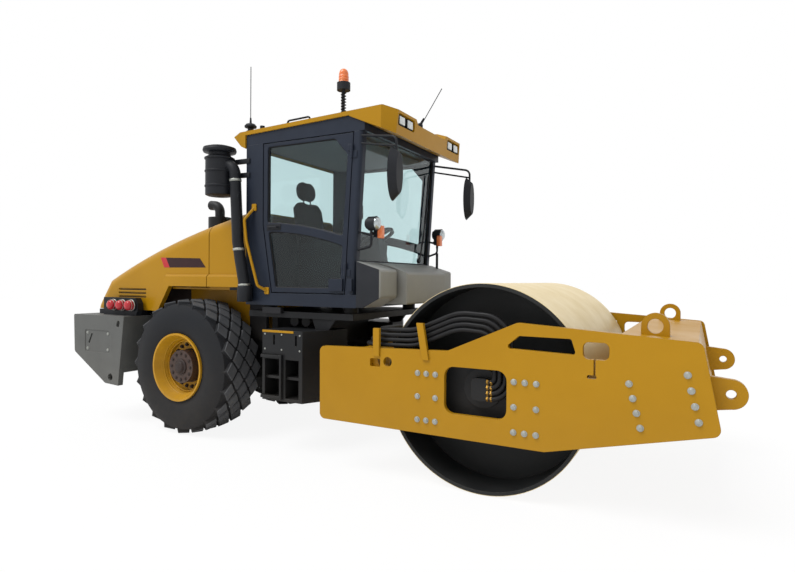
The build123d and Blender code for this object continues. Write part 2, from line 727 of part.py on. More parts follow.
def hood_form(inset, low, front):
    """Solid form of the hood, drawn in by inset, reaching down to low and forward to front."""
    knee = (HOOD_BACK + inset, HOOD_KNEE - inset * 0.3)
    brow = (HOOD_BACK + 150 + inset * 0.8, ARCH_Z + 70 - inset * 0.8)
    with BuildPart() as form:
        with BuildSketch(Plane.XZ):
            with BuildLine():
                Polyline((front, HOOD_TOP - inset), (front, low), (HOOD_BACK + inset, low), knee, brow)
                ThreePointArc(brow, (HOOD_CREST[0], HOOD_CREST[1] - inset), (front, HOOD_TOP - inset))
            make_face()
        extrude(amount=HOOD_HALF - inset, both=True)
        sides = form.edges().filter_by(lambda e: abs(abs(e.center().Y) - HOOD_HALF + inset) < 0.5)
        upper = [e for e in sides if e.center().Z > HOOD_KNEE + 5]
        fillet([e for e in upper if e.center().X < front - 1], HOOD_ROUND - inset)
    return form.part


hood_solid = hood_form(0, HOOD_LOW, SEAM_X)
hood_void = hood_form(HOOD_WALL, RAIL_TOP, SEAM_X + 50)
with BuildPart() as hood:
    add(hood_solid)
    add(hood_void, mode=Mode.SUBTRACT)
    with BuildSketch(Plane.XZ):
        Polygon(
            (ARCH_FOOT, RAIL_TOP),
            (ARCH_FOOT, HOOD_LOW),
            (ARCH_HEAD, ARCH_Z),
            (SEAM_X + 50, ARCH_Z),
            (SEAM_X + 50, RAIL_TOP),
        )
    extrude(amount=HOOD_HALF + 50, both=True, mode=Mode.SUBTRACT)
    for side in (-1, 1):
        with BuildSketch(across(side, HOOD_HALF, FLARE_T)):
            Polygon(
                (ARCH_FOOT, HOOD_LOW),
                (ARCH_HEAD, ARCH_Z),
                (SEAM_X, ARCH_Z),
                (SEAM_X, ARCH_Z + FLARE_H),
                (ARCH_HEAD - 70, ARCH_Z + FLARE_H),
                (ARCH_FOOT - FLARE_H, HOOD_LOW),
            )
        extrude(amount=FLARE_T)
    lips = hood.edges().filter_by(lambda e: abs(abs(e.center().Y) - HOOD_HALF - FLARE_T) < 0.5)
    crests = [e for e in lips if e.center().Z > ARCH_Z + FLARE_H - 1]
    slants = [e for e in lips if e.center().X < ARCH_FOOT and e.center().Z > HOOD_LOW + 20]
    chamfer(crests + slants, length=24)
    for side in (-1, 1):
        with BuildSketch(across(side, HINGE_Y + 20, 16)):
            Polygon(
                (HINGE_X - 75, HINGE_Z - 60),
                (HINGE_X - 8, HINGE_Z - 45),
                (HINGE_X + 8, HINGE_Z + LUG_R - 2),
                (HINGE_X - 8, HINGE_Z + LUG_R - 2),
            )
            with Locations((HINGE_X, HINGE_Z)):
                Circle(LUG_R)
                Circle(HOOD_PIN + RUN, mode=Mode.SUBTRACT)
        extrude(amount=16)
    with BuildSketch(Plane.XZ):
        with Locations((AXLE_X - 1060, HOOD_KNEE + 50)):
            with GridLocations(0, 42, 1, 3):
                SlotOverall(480, 20)
    extrude(amount=HOOD_HALF + 50, both=True, mode=Mode.SUBTRACT)
    with BuildSketch(Plane.YZ.offset(HOOD_BACK - 10)):
        with Locations((0, HOOD_KNEE + 20)):
            with GridLocations(0, 48, 1, 6):
                SlotOverall(1100, 22)
    extrude(amount=200, mode=Mode.SUBTRACT)
save(hood.part, "hood")

# Exhaust on the hood
EXHAUST = (AXLE_X - 220, -250)
MUFFLER_TOP = HOOD_TOP + 142
MUFFLER_R = 130
TAIL_R = 55
with BuildPart() as exhaust:
    with BuildSketch(Plane.XY.offset(HOOD_TOP - 238)):
        with Locations(EXHAUST):
            Circle(MUFFLER_R)
    extrude(amount=MUFFLER_TOP - HOOD_TOP + 238)
    with BuildLine() as bend:
        FilletPolyline(
            (EXHAUST[0], EXHAUST[1], MUFFLER_TOP - 10),
            (EXHAUST[0], EXHAUST[1], MUFFLER_TOP + 135),
            (EXHAUST[0] - 140, EXHAUST[1], MUFFLER_TOP + 150),
            radius=85,
        )
    with BuildSketch(along(bend.line)):
        Circle(TAIL_R)
    sweep(path=bend.line)
    add(hood_solid, mode=Mode.SUBTRACT)
save(exhaust.part, "exhaust")

# Fixed engine cover between hood and cab
COVER_RISE = 0.235


def cover_form(inset, low, rear, front):
    """Solid form of the fixed cover, drawn in by inset."""
    crest = HOOD_TOP + 4 - inset
    with BuildPart() as form:
        with BuildSketch(Plane.XZ):
            Polygon(
                (rear, low),
                (rear, crest + (rear - COVER_REAR) * COVER_RISE),
                (front, crest + (front - COVER_REAR) * COVER_RISE),
                (front, low),
            )
        extrude(amount=HOOD_HALF - inset, both=True)
        top = form.edges().filter_by(lambda e: abs(abs(e.center().Y) - HOOD_HALF + inset) < 0.5)
        fillet([e for e in top if e.center().Z > crest], radius=HOOD_ROUND - inset)
    return form.part


cover_solid = cover_form(0, ARCH_Z, COVER_REAR, COVER_FRONT)
cover_void = cover_form(HOOD_WALL, RAIL_TOP, COVER_REAR - 50, COVER_FRONT + 50)
with BuildPart() as engine_cover:
    add(cover_solid)
    add(cover_void, mode=Mode.SUBTRACT)
    for side in (-1, 1):
        with BuildSketch(across(side, HOOD_HALF, FLARE_T)):
            with Locations(((COVER_REAR + COVER_FRONT) / 2, ARCH_Z + FLARE_H / 2)):
                Rectangle(COVER_FRONT - COVER_REAR, FLARE_H)
        extrude(amount=FLARE_T)
    lips = engine_cover.edges().filter_by(lambda e: abs(abs(e.center().Y) - HOOD_HALF - FLARE_T) < 0.5)
    chamfer([e for e in lips if e.center().Z > ARCH_Z + FLARE_H - 1], length=24)
    for side in (-1, 1):
        with BuildSketch(across(side, HINGE_Y, 15)):
            Polygon(
                (HINGE_X + 75, HINGE_Z - 30),
                (HINGE_X + 8, HINGE_Z - 45),
                (HINGE_X - 8, HINGE_Z + LUG_R - 2),
                (HINGE_X + 8, HINGE_Z + LUG_R - 2),
            )
            with Locations((HINGE_X, HINGE_Z)):
                Circle(LUG_R)
        extrude(amount=15)
        with BuildSketch(across(side, HINGE_Y, 42)):
            with Locations((HINGE_X, HINGE_Z)):
                Circle(HOOD_PIN)
        extrude(amount=42)
save(engine_cover.part, "engine_cover")

# Inner fenders: wall beside the tyre and shelf over it
SHELF_T = 20
FENDER_REAR = AXLE_X - 430
with BuildPart() as inner_fenders:
    for side in (-1, 1):
        with BuildSketch(Plane.YZ.offset(FENDER_REAR)):
            Polygon(
                (side * RAIL_OUT, RAIL_TOP),
                (side * (RAIL_OUT + SHELF_T), RAIL_TOP),
                (side * (RAIL_OUT + SHELF_T), ARCH_Z - SHELF_T - 10),
                (side * (HOOD_HALF - 40), ARCH_Z - SHELF_T - 10),
                (side * (HOOD_HALF - 40), ARCH_Z - 10),
                (side * (RAIL_OUT - SHELF_T), ARCH_Z - 10),
                (side * (RAIL_OUT - SHELF_T), RAIL_TOP),
            )
        extrude(amount=COVER_FRONT - FENDER_REAR)
        with BuildSketch(Plane.XY.offset(ARCH_Z - SHELF_T - 10)):
            with Locations(((COVER_REAR + COVER_FRONT) / 2, side * (RAIL_OUT + HOOD_HALF) / 2)):
                Rectangle(COVER_FRONT - COVER_REAR, HOOD_HALF - RAIL_OUT)
        extrude(amount=SHELF_T + 10)
save(inner_fenders.part, "inner_fenders")

# Tail lamp bases on the counterweight, the plinth under the hood, and the lamps
BASE_IN = HOOD_HALF + FLARE_T + SEAM_GAP
BASE_T = 75
BASE_FRONT = WEIGHT_FRONT + 30
BASE_TOP = WEIGHT_TOP + 200
LAMP_R = 66
LAMP_RIM = 20
LAMP_X = (BASE_FRONT - 80, BASE_FRONT - 230, BASE_FRONT - 380)
LAMP_Z = WEIGHT_TOP + 118
PLINTH_T = 75
with BuildPart() as tail_bases:
    for side in (-1, 1):
        with BuildSketch(across(side, BASE_IN, BASE_T)):
            Polygon(
                (BASE_FRONT - 590, WEIGHT_TOP),
                (BASE_FRONT - 30, WEIGHT_TOP),
                (BASE_FRONT, WEIGHT_TOP + 60),
                (BASE_FRONT, BASE_TOP - 60),
                (BASE_FRONT - 40, BASE_TOP),
                (BASE_FRONT - 590, BASE_TOP),
            )
        extrude(amount=BASE_T)
        with BuildSketch(across(side, BASE_IN + BASE_T, LAMP_RIM)):
            for x in LAMP_X:
                with Locations((x, LAMP_Z)):
                    Circle(LAMP_R)
        extrude(amount=LAMP_RIM)
        with BuildSketch(across(side, HOOD_HALF - 60, PLINTH_T)):
            with Locations(((HOOD_BACK + WEIGHT_FRONT) / 2, (WEIGHT_TOP + HOOD_LOW - 6) / 2)):
                Rectangle(WEIGHT_FRONT - HOOD_BACK - 40, HOOD_LOW - 6 - WEIGHT_TOP)
        extrude(amount=PLINTH_T)
    with BuildSketch(Plane.XZ):
        with Locations((HOOD_BACK + 35, (WEIGHT_TOP + HOOD_LOW - 6) / 2)):
            Rectangle(50, HOOD_LOW - 6 - WEIGHT_TOP)
    extrude(amount=HOOD_HALF, both=True)
save(tail_bases.part, "tail_lamp_bases")
LENS_T = 32
with BuildPart() as tail_lamps:
    for side in (-1, 1):
        with BuildSketch(across(side, BASE_IN + BASE_T + LAMP_RIM, LENS_T)):
            for x in LAMP_X:
                with Locations((x, LAMP_Z)):
                    Circle(LAMP_R - 12)
        extrude(amount=LENS_T)
    rings = tail_lamps.edges().filter_by(GeomType.CIRCLE)
    chamfer([e for e in rings if abs(e.center().Y) > BASE_IN + BASE_T + LAMP_RIM + LENS_T - 1], length=18)
save(tail_lamps.part, "tail_lamps")

# Step tanks with a divided foot recess and two grip slots, at each side below the doors
TANK_OUT = CAB_HALF + 190
TANK_REAR = -560
TANK_FRONT = -90
TANK_TOP = RAIL_TOP + 180
TANK_LOW = TANK_TOP - 660
RECESS = 190
with BuildPart() as step_tanks:
    for side in (-1, 1):
        with BuildSketch(Plane.XY.offset(TANK_LOW)):
            Polygon(
                (TANK_REAR, side * RAIL_OUT),
                (TANK_REAR, side * TANK_OUT),
                (TANK_FRONT, side * TANK_OUT),
                (TANK_FRONT + 140, side * (RAIL_OUT + 240)),
                (TANK_FRONT + 140, side * RAIL_OUT),
            )
        extrude(amount=TANK_TOP - TANK_LOW)
        with BuildSketch(across(side, TANK_OUT - RECESS, RECESS)):
            with Locations((TANK_REAR + 137, TANK_LOW + 210)):
                Rectangle(215, 360)
            with Locations((TANK_FRONT - 117, TANK_LOW + 210)):
                Rectangle(155, 360)
        extrude(amount=RECESS, mode=Mode.SUBTRACT)
        with BuildSketch(across(side, TANK_OUT - RECESS, RECESS - 25)):
            with Locations(((TANK_REAR + TANK_FRONT) / 2, TANK_LOW + 215)):
                Rectangle(TANK_FRONT - TANK_REAR - 40, 24)
        extrude(amount=RECESS - 25)
        with BuildSketch(across(side, TANK_OUT - 20, 20)):
            with Locations((TANK_REAR + 140, TANK_TOP - 90), (TANK_FRONT - 73, TANK_TOP - 90)):
                SlotOverall(100, 24, rotation=90)
        extrude(amount=20, mode=Mode.SUBTRACT)
save(step_tanks.part, "step_tanks")

# Platform under the cab with two cross walls and side brackets, rubber mounts, and bars to the fenders
PLATFORM_FRONT = 300
PLATFORM_HALF = CAB_HALF - 50
WALL_T = 70
with BuildPart() as platform:
    with BuildSketch(Plane.XY.offset(PLATFORM_LOW)):
        with Locations(((CAB_REAR + PLATFORM_FRONT) / 2, 0)):
            Rectangle(PLATFORM_FRONT - CAB_REAR, 2 * PLATFORM_HALF)
    extrude(amount=PLATFORM_T)
    for x in (CAB_REAR + 90, CAB_REAR + 650):
        with BuildSketch(Plane.XY.offset(RAIL_TOP)):
            with Locations((x, 0)):
                Rectangle(WALL_T, 2 * RAIL_OUT)
        extrude(amount=PLATFORM_LOW - RAIL_TOP)
    for side in (-1, 1):
        with BuildSketch(across(side, PLATFORM_HALF - 40, 25)):
            Polygon(
                (TANK_FRONT - 80, PLATFORM_LOW),
                (TANK_FRONT - 40, TANK_TOP),
                (TANK_FRONT + 110, TANK_TOP),
                (TANK_FRONT + 190, PLATFORM_LOW),
            )
        extrude(amount=25)
save(platform.part, "platform")
MOUNT_R = 70
with BuildPart() as cab_mounts:
    with BuildSketch(Plane.XY.offset(PLATFORM_LOW + PLATFORM_T)):
        for x in (CAB_REAR + 150, PLATFORM_FRONT - 120):
            for y in (INNER - 120, 120 - INNER):
                with Locations((x, y)):
                    Circle(MOUNT_R)
    extrude(amount=MOUNT_H)
    for side in (-1, 1):
        with BuildSketch(across(side, RAIL_OUT + 60, 120)):
            for x in (TANK_REAR + 100, TANK_REAR + 240):
                with Locations((x, PLATFORM_LOW - MOUNT_R + 30)):
                    Circle(MOUNT_R - 20)
        extrude(amount=120)
    add(platform.part, mode=Mode.SUBTRACT)
save(cab_mounts.part, "cab_mounts")
BAR_H = 60
with BuildPart() as fender_bars:
    for side in (-1, 1):
        with BuildSketch(across(side, PLATFORM_HALF, 45)):
            with Locations((CAB_REAR + 327, PLATFORM_LOW + 70)):
                Rectangle(230, BAR_H)
        extrude(amount=45)
save(fender_bars.part, "fender_bars")

# Cab floor, posts with rounded front corners, ceiling
with BuildPart() as cab_floor:
    with BuildSketch(Plane.XY.offset(CAB_FLOOR)):
        with Locations(((CAB_REAR + CAB_FRONT) / 2, 0)):
            Rectangle(CAB_FRONT - CAB_REAR, 2 * CAB_HALF)
    extrude(amount=SILL_H)
save(cab_floor.part, "cab_floor")

REAR_POST = CAB_REAR + 215
REAR_FOOT = REAR_POST + 112
KINK_Z = CAB_SILL + 670
POST_ROUND = 36
LEAF = 50
KNUCKLE_H = 56
with BuildPart() as cab_posts:
    for side in (-1, 1):
        with BuildSketch(across(side, INNER, POST_T)):
            Polygon(
                (CAB_REAR, CAB_SILL),
                (REAR_FOOT, CAB_SILL),
                (REAR_POST, KINK_Z),
                (REAR_POST, CAB_TOP),
                (CAB_REAR, CAB_TOP),
            )
            Polygon(
                (post_edge(CAB_SILL), CAB_SILL),
                (post_edge(CAB_SILL) + POST_W, CAB_SILL),
                (post_edge(CAB_TOP) + POST_W, CAB_TOP),
                (post_edge(CAB_TOP), CAB_TOP),
            )
        extrude(amount=POST_T)
    uprights = cab_posts.edges().filter_by(lambda e: e.length > CAB_H - 1)
    outer = uprights.filter_by(lambda e: abs(e.center().Y) > CAB_HALF - 1)
    fillet(outer.sort_by(Axis.X)[-2:], radius=POST_ROUND)
    for side in (-1, 1):
        for z in (LOWER_HINGE, UPPER_HINGE):
            with BuildSketch(hinge_plane(side, z)):
                Circle(KNUCKLE - 1)
                with Locations((LEAF / 2, -side * (KNUCKLE - 4))):
                    Rectangle(LEAF, 8)
            extrude(amount=KNUCKLE_H + 4)
            with BuildSketch(hinge_plane(side, z)):
                Circle(HINGE_PIN)
            extrude(amount=2 * KNUCKLE_H + 6)
        with BuildSketch(across(side, CAB_HALF - 5, 27)):
            with Locations((post_edge(CAB_SILL) + 62, CAB_SILL + 88)):
                Rectangle(46, 112)
        extrude(amount=27)
save(cab_posts.part, "cab_posts")

CEILING_FRONT = CAB_FRONT + 78
with BuildPart() as cab_ceiling:
    with BuildSketch(Plane.XZ):
        Polygon(
            (CAB_REAR, CAB_TOP),
            (CAB_REAR, ceiling_top(CAB_REAR)),
            (CEILING_FRONT, ceiling_top(CEILING_FRONT)),
            (CEILING_FRONT, CAB_TOP),
        )
    extrude(amount=CAB_HALF, both=True)
save(cab_ceiling.part, "cab_ceiling")

# Roof: one shell with a drooping rear lip, side cheeks, a deep visor with two lamp pods and a raised middle
ROOF_HALF = CAB_HALF + 15
TIP_X = CAB_REAR - 155
BACK_X = CAB_REAR - 76
VISOR_X = CEILING_FRONT + 12
VISOR_TOP = CAB_FRONT + 268
VISOR_FRONT = CAB_FRONT + 373
VISOR_LOW = (VISOR_FRONT - 18, CAB_TOP - 47)
POD_TOP = CAB_TOP + 165
DIP = 76
DIP_X = VISOR_FRONT - 195
DIP_HALF = 310
POCKET_Y = CAB_HALF - 260
POCKET_W = 320
POCKET_H = 105
POCKET_Z = CAB_TOP + 88
POCKET_DEPTH = 40
with BuildPart() as roof:
    with BuildSketch(Plane.XZ):
        Polygon(
            (CAB_REAR - 5, CAB_TOP - 30),
            (CAB_REAR - 60, CAB_TOP - 5),
            (TIP_X, CAB_TOP + 98),
            (BACK_X, roof_top(BACK_X)),
            (VISOR_TOP, roof_top(VISOR_TOP)),
            (VISOR_FRONT, POD_TOP),
            VISOR_LOW,
            (VISOR_X, CAB_TOP + 65),
            (VISOR_X, ceiling_top(VISOR_X)),
            (CAB_REAR - 5, ceiling_top(CAB_REAR - 5)),
        )
    extrude(amount=ROOF_HALF, both=True)
    for side in (-1, 1):
        with BuildSketch(across(side, CAB_HALF, ROOF_HALF - CAB_HALF)):
            Polygon(
                (CAB_FRONT - 79, ceiling_top(CAB_FRONT - 79) - 8),
                (VISOR_X, CAB_TOP + 65),
                (VISOR_X, roof_top(VISOR_X) - 5),
                (CAB_FRONT - 79, roof_top(CAB_FRONT - 79) - 5),
            )
        extrude(amount=ROOF_HALF - CAB_HALF)
        with BuildSketch(Plane.XY.offset(CAB_TOP - 100)):
            Polygon(
                (VISOR_FRONT - 120, side * (ROOF_HALF + 1)),
                (VISOR_FRONT + 25, side * (ROOF_HALF + 1)),
                (VISOR_FRONT + 25, side * (ROOF_HALF - 125)),
            )
        extrude(amount=400, mode=Mode.SUBTRACT)
    dip_plane = Plane(
        origin=(DIP_X, 0, roof_top(DIP_X)),
        x_dir=(0, 1, 0),
        z_dir=(VISOR_FRONT - DIP_X, 0, -DIP),
    )
    with BuildSketch(dip_plane):
        Polygon((-DIP_HALF, 0), (DIP_HALF, 0), (DIP_HALF + 120, 120), (-DIP_HALF - 120, 120))
    extrude(amount=300, mode=Mode.SUBTRACT)
    for side in (-1, 1):
        with BuildSketch(Plane.YZ.offset(VISOR_FRONT - 14 - POCKET_DEPTH)):
            with Locations((side * POCKET_Y, POCKET_Z)):
                RectangleRounded(POCKET_W, POCKET_H, 20)
        extrude(amount=POCKET_DEPTH + 50, mode=Mode.SUBTRACT)
    with BuildSketch(Plane.XZ):
        Polygon(
            (CAB_REAR + 20, roof_top(CAB_REAR + 20) - 5),
            (CAB_REAR + 60, roof_top(CAB_REAR + 60) + 32),
            (CAB_FRONT - 40, roof_top(CAB_FRONT - 40) + 32),
            (CAB_FRONT + 60, roof_top(CAB_FRONT + 60) - 5),
        )
    extrude(amount=CAB_HALF - 190, both=True)
    raised = roof.edges().filter_by(lambda e: abs(abs(e.center().Y) - CAB_HALF + 190) < 0.5)
    chamfer([e for e in raised if e.center().Z > roof_top(e.center().X) + 25], length=26)
save(roof.part, "roof")

# Windscreen, front panel, rear panel and rear window
SCREEN_LOW = CAB_SILL + 310
SCREEN_X = 56
with BuildPart() as cab_glass:
    with BuildSketch(Plane.XZ):
        Polygon(
            (post_edge(SCREEN_LOW) + SCREEN_X, SCREEN_LOW),
            (post_edge(SCREEN_LOW) + SCREEN_X + GLASS_T, SCREEN_LOW),
            (post_edge(CAB_TOP) + SCREEN_X + GLASS_T, CAB_TOP),
            (post_edge(CAB_TOP) + SCREEN_X, CAB_TOP),
        )
    extrude(amount=INNER, both=True)
    with BuildSketch(Plane.XY.offset(KINK_Z)):
        with Locations((CAB_REAR + 25, 0)):
            Rectangle(GLASS_T, 2 * INNER)
    extrude(amount=CAB_TOP - KINK_Z)
save(cab_glass.part, "cab_glass")
PANEL_T = 50
with BuildPart() as cab_panels:
    with BuildSketch(Plane.XZ):
        Polygon(
            (post_edge(CAB_SILL) + SCREEN_X - 30, CAB_SILL),
            (post_edge(CAB_SILL) + SCREEN_X - 30 + PANEL_T, CAB_SILL),
            (post_edge(SCREEN_LOW) + SCREEN_X - 30 + PANEL_T, SCREEN_LOW),
            (post_edge(SCREEN_LOW) + SCREEN_X - 30, SCREEN_LOW),
        )
    extrude(amount=INNER, both=True)
    with BuildSketch(Plane.XY.offset(CAB_SILL)):
        with Locations((CAB_REAR + PANEL_T / 2, 0)):
            Rectangle(PANEL_T, 2 * INNER)
    extrude(amount=KINK_Z - CAB_SILL)
save(cab_panels.part, "cab_panels")

# Doors with a curved rail between two panes, a foot block and hinge leaves
DOOR_LOW = CAB_SILL + DOOR_GAP
DOOR_TOP = CAB_TOP - DOOR_GAP
DOOR_REAR = REAR_POST + DOOR_GAP + 2
DOOR_SLANT = (REAR_FOOT - REAR_POST) / (KINK_Z - CAB_SILL)
PANE_TOP = DOOR_TOP - 31
PANE_LOW = DOOR_LOW + 45
PANE_ROUND = 28
RAIL_FRONT = CAB_SILL + 533
RAIL_MID = CAB_SILL + 656
RAIL_REAR = CAB_SILL + 688
RAIL_DEEP = 86


def door_front(z):
    """Front edge of a door at height z."""
    return post_edge(z) - DOOR_GAP


def door_rear(z):
    """Rear edge of a door at height z, drawn forward below the kink."""
    return DOOR_REAR + max(0, KINK_Z - z) * DOOR_SLANT


def panes(plane):
    """Both panes of a door on a plane, divided by the curved rail."""
    upper_rear = (door_rear(RAIL_REAR) + STILE, RAIL_REAR)
    upper_mid = ((CAB_REAR + CAB_FRONT) / 2 - 40, RAIL_MID)
    upper_front = (door_front(RAIL_FRONT) - STILE, RAIL_FRONT)
    lower_rear = (door_rear(RAIL_REAR - RAIL_DEEP) + STILE, RAIL_REAR - RAIL_DEEP)
    lower_mid = (upper_mid[0], RAIL_MID - RAIL_DEEP + 6)
    lower_front = (door_front(RAIL_FRONT - RAIL_DEEP) - STILE, RAIL_FRONT - RAIL_DEEP)
    cut_z = PANE_TOP - 158
    with BuildSketch(plane) as sheet:
        with BuildLine():
            ThreePointArc(upper_rear, upper_mid, upper_front)
            Polyline(
                upper_front,
                (door_front(cut_z) - STILE, cut_z),
                (door_front(PANE_TOP) - STILE - 150, PANE_TOP),
                (DOOR_REAR + STILE, PANE_TOP),
                upper_rear,
            )
        make_face()
        with BuildLine():
            ThreePointArc(lower_rear, lower_mid, lower_front)
            Polyline(
                lower_front,
                (door_front(PANE_LOW) - STILE, PANE_LOW),
                (door_rear(PANE_LOW) + STILE, PANE_LOW),
                lower_rear,
            )
        make_face()
        fillet(sheet.vertices(), radius=PANE_ROUND)
    return sheet.sketch


for side, hand in ((-1, "right"), (1, "left")):
    openings = panes(across(side, CAB_HALF - DOOR_T, DOOR_T))
    with BuildPart() as door:
        with BuildSketch(across(side, CAB_HALF - DOOR_T, DOOR_T)):
            Polygon(
                (door_rear(DOOR_LOW), DOOR_LOW),
                (DOOR_REAR, KINK_Z),
                (DOOR_REAR, DOOR_TOP),
                (door_front(DOOR_TOP), DOOR_TOP),
                (door_front(DOOR_LOW), DOOR_LOW),
            )
        extrude(amount=DOOR_T)
        extrude(to_extrude=openings, amount=DOOR_T, mode=Mode.SUBTRACT)
        for z in (LOWER_HINGE, UPPER_HINGE):
            with BuildSketch(hinge_plane(side, z).offset(KNUCKLE_H + 6)):
                Circle(KNUCKLE - 1)
                with Locations((-LEAF / 2, -side * (KNUCKLE - 4))):
                    Rectangle(LEAF, 8)
                Circle(HINGE_PIN + RUN, mode=Mode.SUBTRACT)
            extrude(amount=KNUCKLE_H)
        with BuildSketch(across(side, CAB_HALF - DOOR_T, DOOR_T + 22)):
            with Locations((door_front(DOOR_LOW) - 85, CAB_SILL + 88)):
                Rectangle(150, 112)
        extrude(amount=DOOR_T + 22)
    save(door.part, "door_" + hand)
    sheets = panes(across(side, CAB_HALF - DOOR_T + 22, GLASS_T))
    with BuildPart() as glass:
        extrude(to_extrude=sheets, amount=GLASS_T)
        add(door.part, mode=Mode.SUBTRACT)
    save(glass.part, "door_glass_" + hand)

# Front covers before the cab: two side boxes and a middle box
COVER_IN = CAB_HALF - 320
COVER_LOW = CAB_FLOOR + 5
BOX_X = CAB_FRONT + 250
NOSE_X = CAB_FRONT + 338
with BuildPart() as front_covers:
    for side in (-1, 1):
        with BuildSketch(across(side, COVER_IN, CAB_HALF - COVER_IN)):
            Polygon(
                (CAB_FRONT, COVER_LOW),
                (CAB_FRONT + 75, COVER_LOW),
                (BOX_X, COVER_LOW + 93),
                (BOX_X, COVER_LOW + 340),
                (CAB_FRONT, COVER_LOW + 418),
            )
        extrude(amount=CAB_HALF - COVER_IN)
    with BuildSketch(Plane.XZ):
        Polygon(
            (CAB_FRONT, COVER_LOW + 25),
            (NOSE_X, COVER_LOW + 25),
            (NOSE_X, COVER_LOW + 318),
            (NOSE_X - 190, COVER_LOW + 385),
            (CAB_FRONT, COVER_LOW + 418),
        )
    extrude(amount=COVER_IN - 32, both=True)
    fronts = front_covers.faces().filter_by(Axis.X).sort_by(Axis.X)[-3:]
    chamfer(fronts.edges(), length=14)
save(front_covers.part, "front_covers")

# Head lamps on loop arms at the front posts, the left one also on a stalk, and lamp trays in the roof pods
LAMP_Y = CAB_HALF - 80
HEAD_Z = CAB_SILL + 645
HEAD_X = CAB_FRONT + 88
ARM_R = 11
with BuildPart() as work_lamps:
    for side in (-1, 1):
        with BuildLine() as loop:
            FilletPolyline(
                (post_edge(HEAD_Z - 75) + POST_W - 10, side * (CAB_HALF - 45), HEAD_Z - 75),
                (HEAD_X + 20, side * LAMP_Y, HEAD_Z - 100),
                (HEAD_X + 20, side * LAMP_Y, HEAD_Z - 205),
                (post_edge(HEAD_Z - 240) + POST_W - 10, side * (CAB_HALF - 45), HEAD_Z - 240),
                radius=35,
            )
        with BuildSketch(along(loop.line)):
            Circle(ARM_R)
        sweep(path=loop.line)
        with BuildSketch(Plane.XY.offset(HEAD_Z - 150)):
            with Locations((HEAD_X + 20, side * LAMP_Y)):
                Circle(ARM_R + 2)
        extrude(amount=120)
        with BuildSketch(wheel_plane(HEAD_X, side * LAMP_Y, HEAD_Z, 1)):
            Circle(46)
        extrude(amount=-25)
        with BuildSketch(wheel_plane(HEAD_X, side * LAMP_Y, HEAD_Z, 1)):
            Circle(64)
        extrude(amount=72)
        with BuildSketch(wheel_plane(HEAD_X + 20, side * (LAMP_Y - 68), HEAD_Z - 72, 1)):
            RectangleRounded(52, 92, 8)
        extrude(amount=50)
        with BuildSketch(wheel_plane(HEAD_X + 8, side * (LAMP_Y - 40), HEAD_Z - 90, 1)):
            Rectangle(100, 22)
        extrude(amount=24)
        with BuildSketch(Plane.YZ.offset(VISOR_FRONT - 14 - POCKET_DEPTH)):
            with Locations((side * POCKET_Y, POCKET_Z)):
                RectangleRounded(POCKET_W, POCKET_H, 20)
        extrude(amount=12)
        with BuildSketch(Plane.YZ.offset(VISOR_FRONT - 14 - POCKET_DEPTH)):
            with Locations((side * (POCKET_Y - 78), POCKET_Z), (side * (POCKET_Y + 78), POCKET_Z)):
                RectangleRounded(112, 84, 14)
        extrude(amount=POCKET_DEPTH - 2)
    with BuildSketch(Plane.XY.offset(COVER_LOW + 300)):
        with Locations((HEAD_X + 20, LAMP_Y)):
            Circle(ARM_R + 3)
    extrude(amount=HEAD_Z - 205 - COVER_LOW - 300)
    add(front_covers.part, mode=Mode.SUBTRACT)
    add(cab_posts.part, mode=Mode.SUBTRACT)
save(work_lamps.part, "work_lamps")

# Seat, consoles and steering column
SEAT_H = CAB_SILL + 280
with BuildPart() as seat:
    with BuildSketch(Plane.XZ):
        with Locations((CAB_REAR + 570, (CAB_SILL + SEAT_H) / 2)):
            Rectangle(400, SEAT_H - CAB_SILL)
    extrude(amount=200, both=True)
    with BuildSketch(Plane.XZ):
        Polygon(
            (CAB_REAR + 330, SEAT_H),
            (CAB_REAR + 840, SEAT_H),
            (CAB_REAR + 860, SEAT_H + 140),
            (CAB_REAR + 390, SEAT_H + 130),
            (CAB_REAR + 300, SEAT_H + 720),
            (CAB_REAR + 190, SEAT_H + 720),
        )
    extrude(amount=250, both=True)
    with BuildSketch(Plane.XZ):
        Polygon(
            (CAB_REAR + 205, SEAT_H + 710),
            (CAB_REAR + 285, SEAT_H + 710),
            (CAB_REAR + 280, SEAT_H + 940),
            (CAB_REAR + 200, SEAT_H + 940),
        )
    extrude(amount=140, both=True)
save(seat.part, "seat")
WHEEL_TILT = 0.5
with BuildPart() as controls:
    for side in (-1, 1):
        with BuildSketch(across(side, 300, 150)):
            Polygon(
                (CAB_REAR + 390, CAB_SILL),
                (CAB_REAR + 890, CAB_SILL),
                (CAB_REAR + 930, SEAT_H + 270),
                (CAB_REAR + 810, SEAT_H + 300),
                (CAB_REAR + 390, SEAT_H + 220),
            )
        extrude(amount=150)
    with BuildSketch(Plane.XZ):
        Polygon(
            (CAB_FRONT - 242, CAB_SILL),
            (CAB_FRONT - 102, CAB_SILL),
            (CAB_FRONT - 212, SEAT_H + 310),
            (CAB_FRONT - 272, SEAT_H + 290),
        )
    extrude(amount=70, both=True)
    wheel_top = Plane(
        origin=(CAB_FRONT - 257, 0, SEAT_H + 285),
        x_dir=(1, 0, WHEEL_TILT),
        z_dir=(-WHEEL_TILT, 0, 1),
    )
    with BuildSketch(wheel_top):
        Circle(195)
        Circle(165, mode=Mode.SUBTRACT)
        Rectangle(350, 40)
    extrude(amount=28)
save(controls.part, "controls")

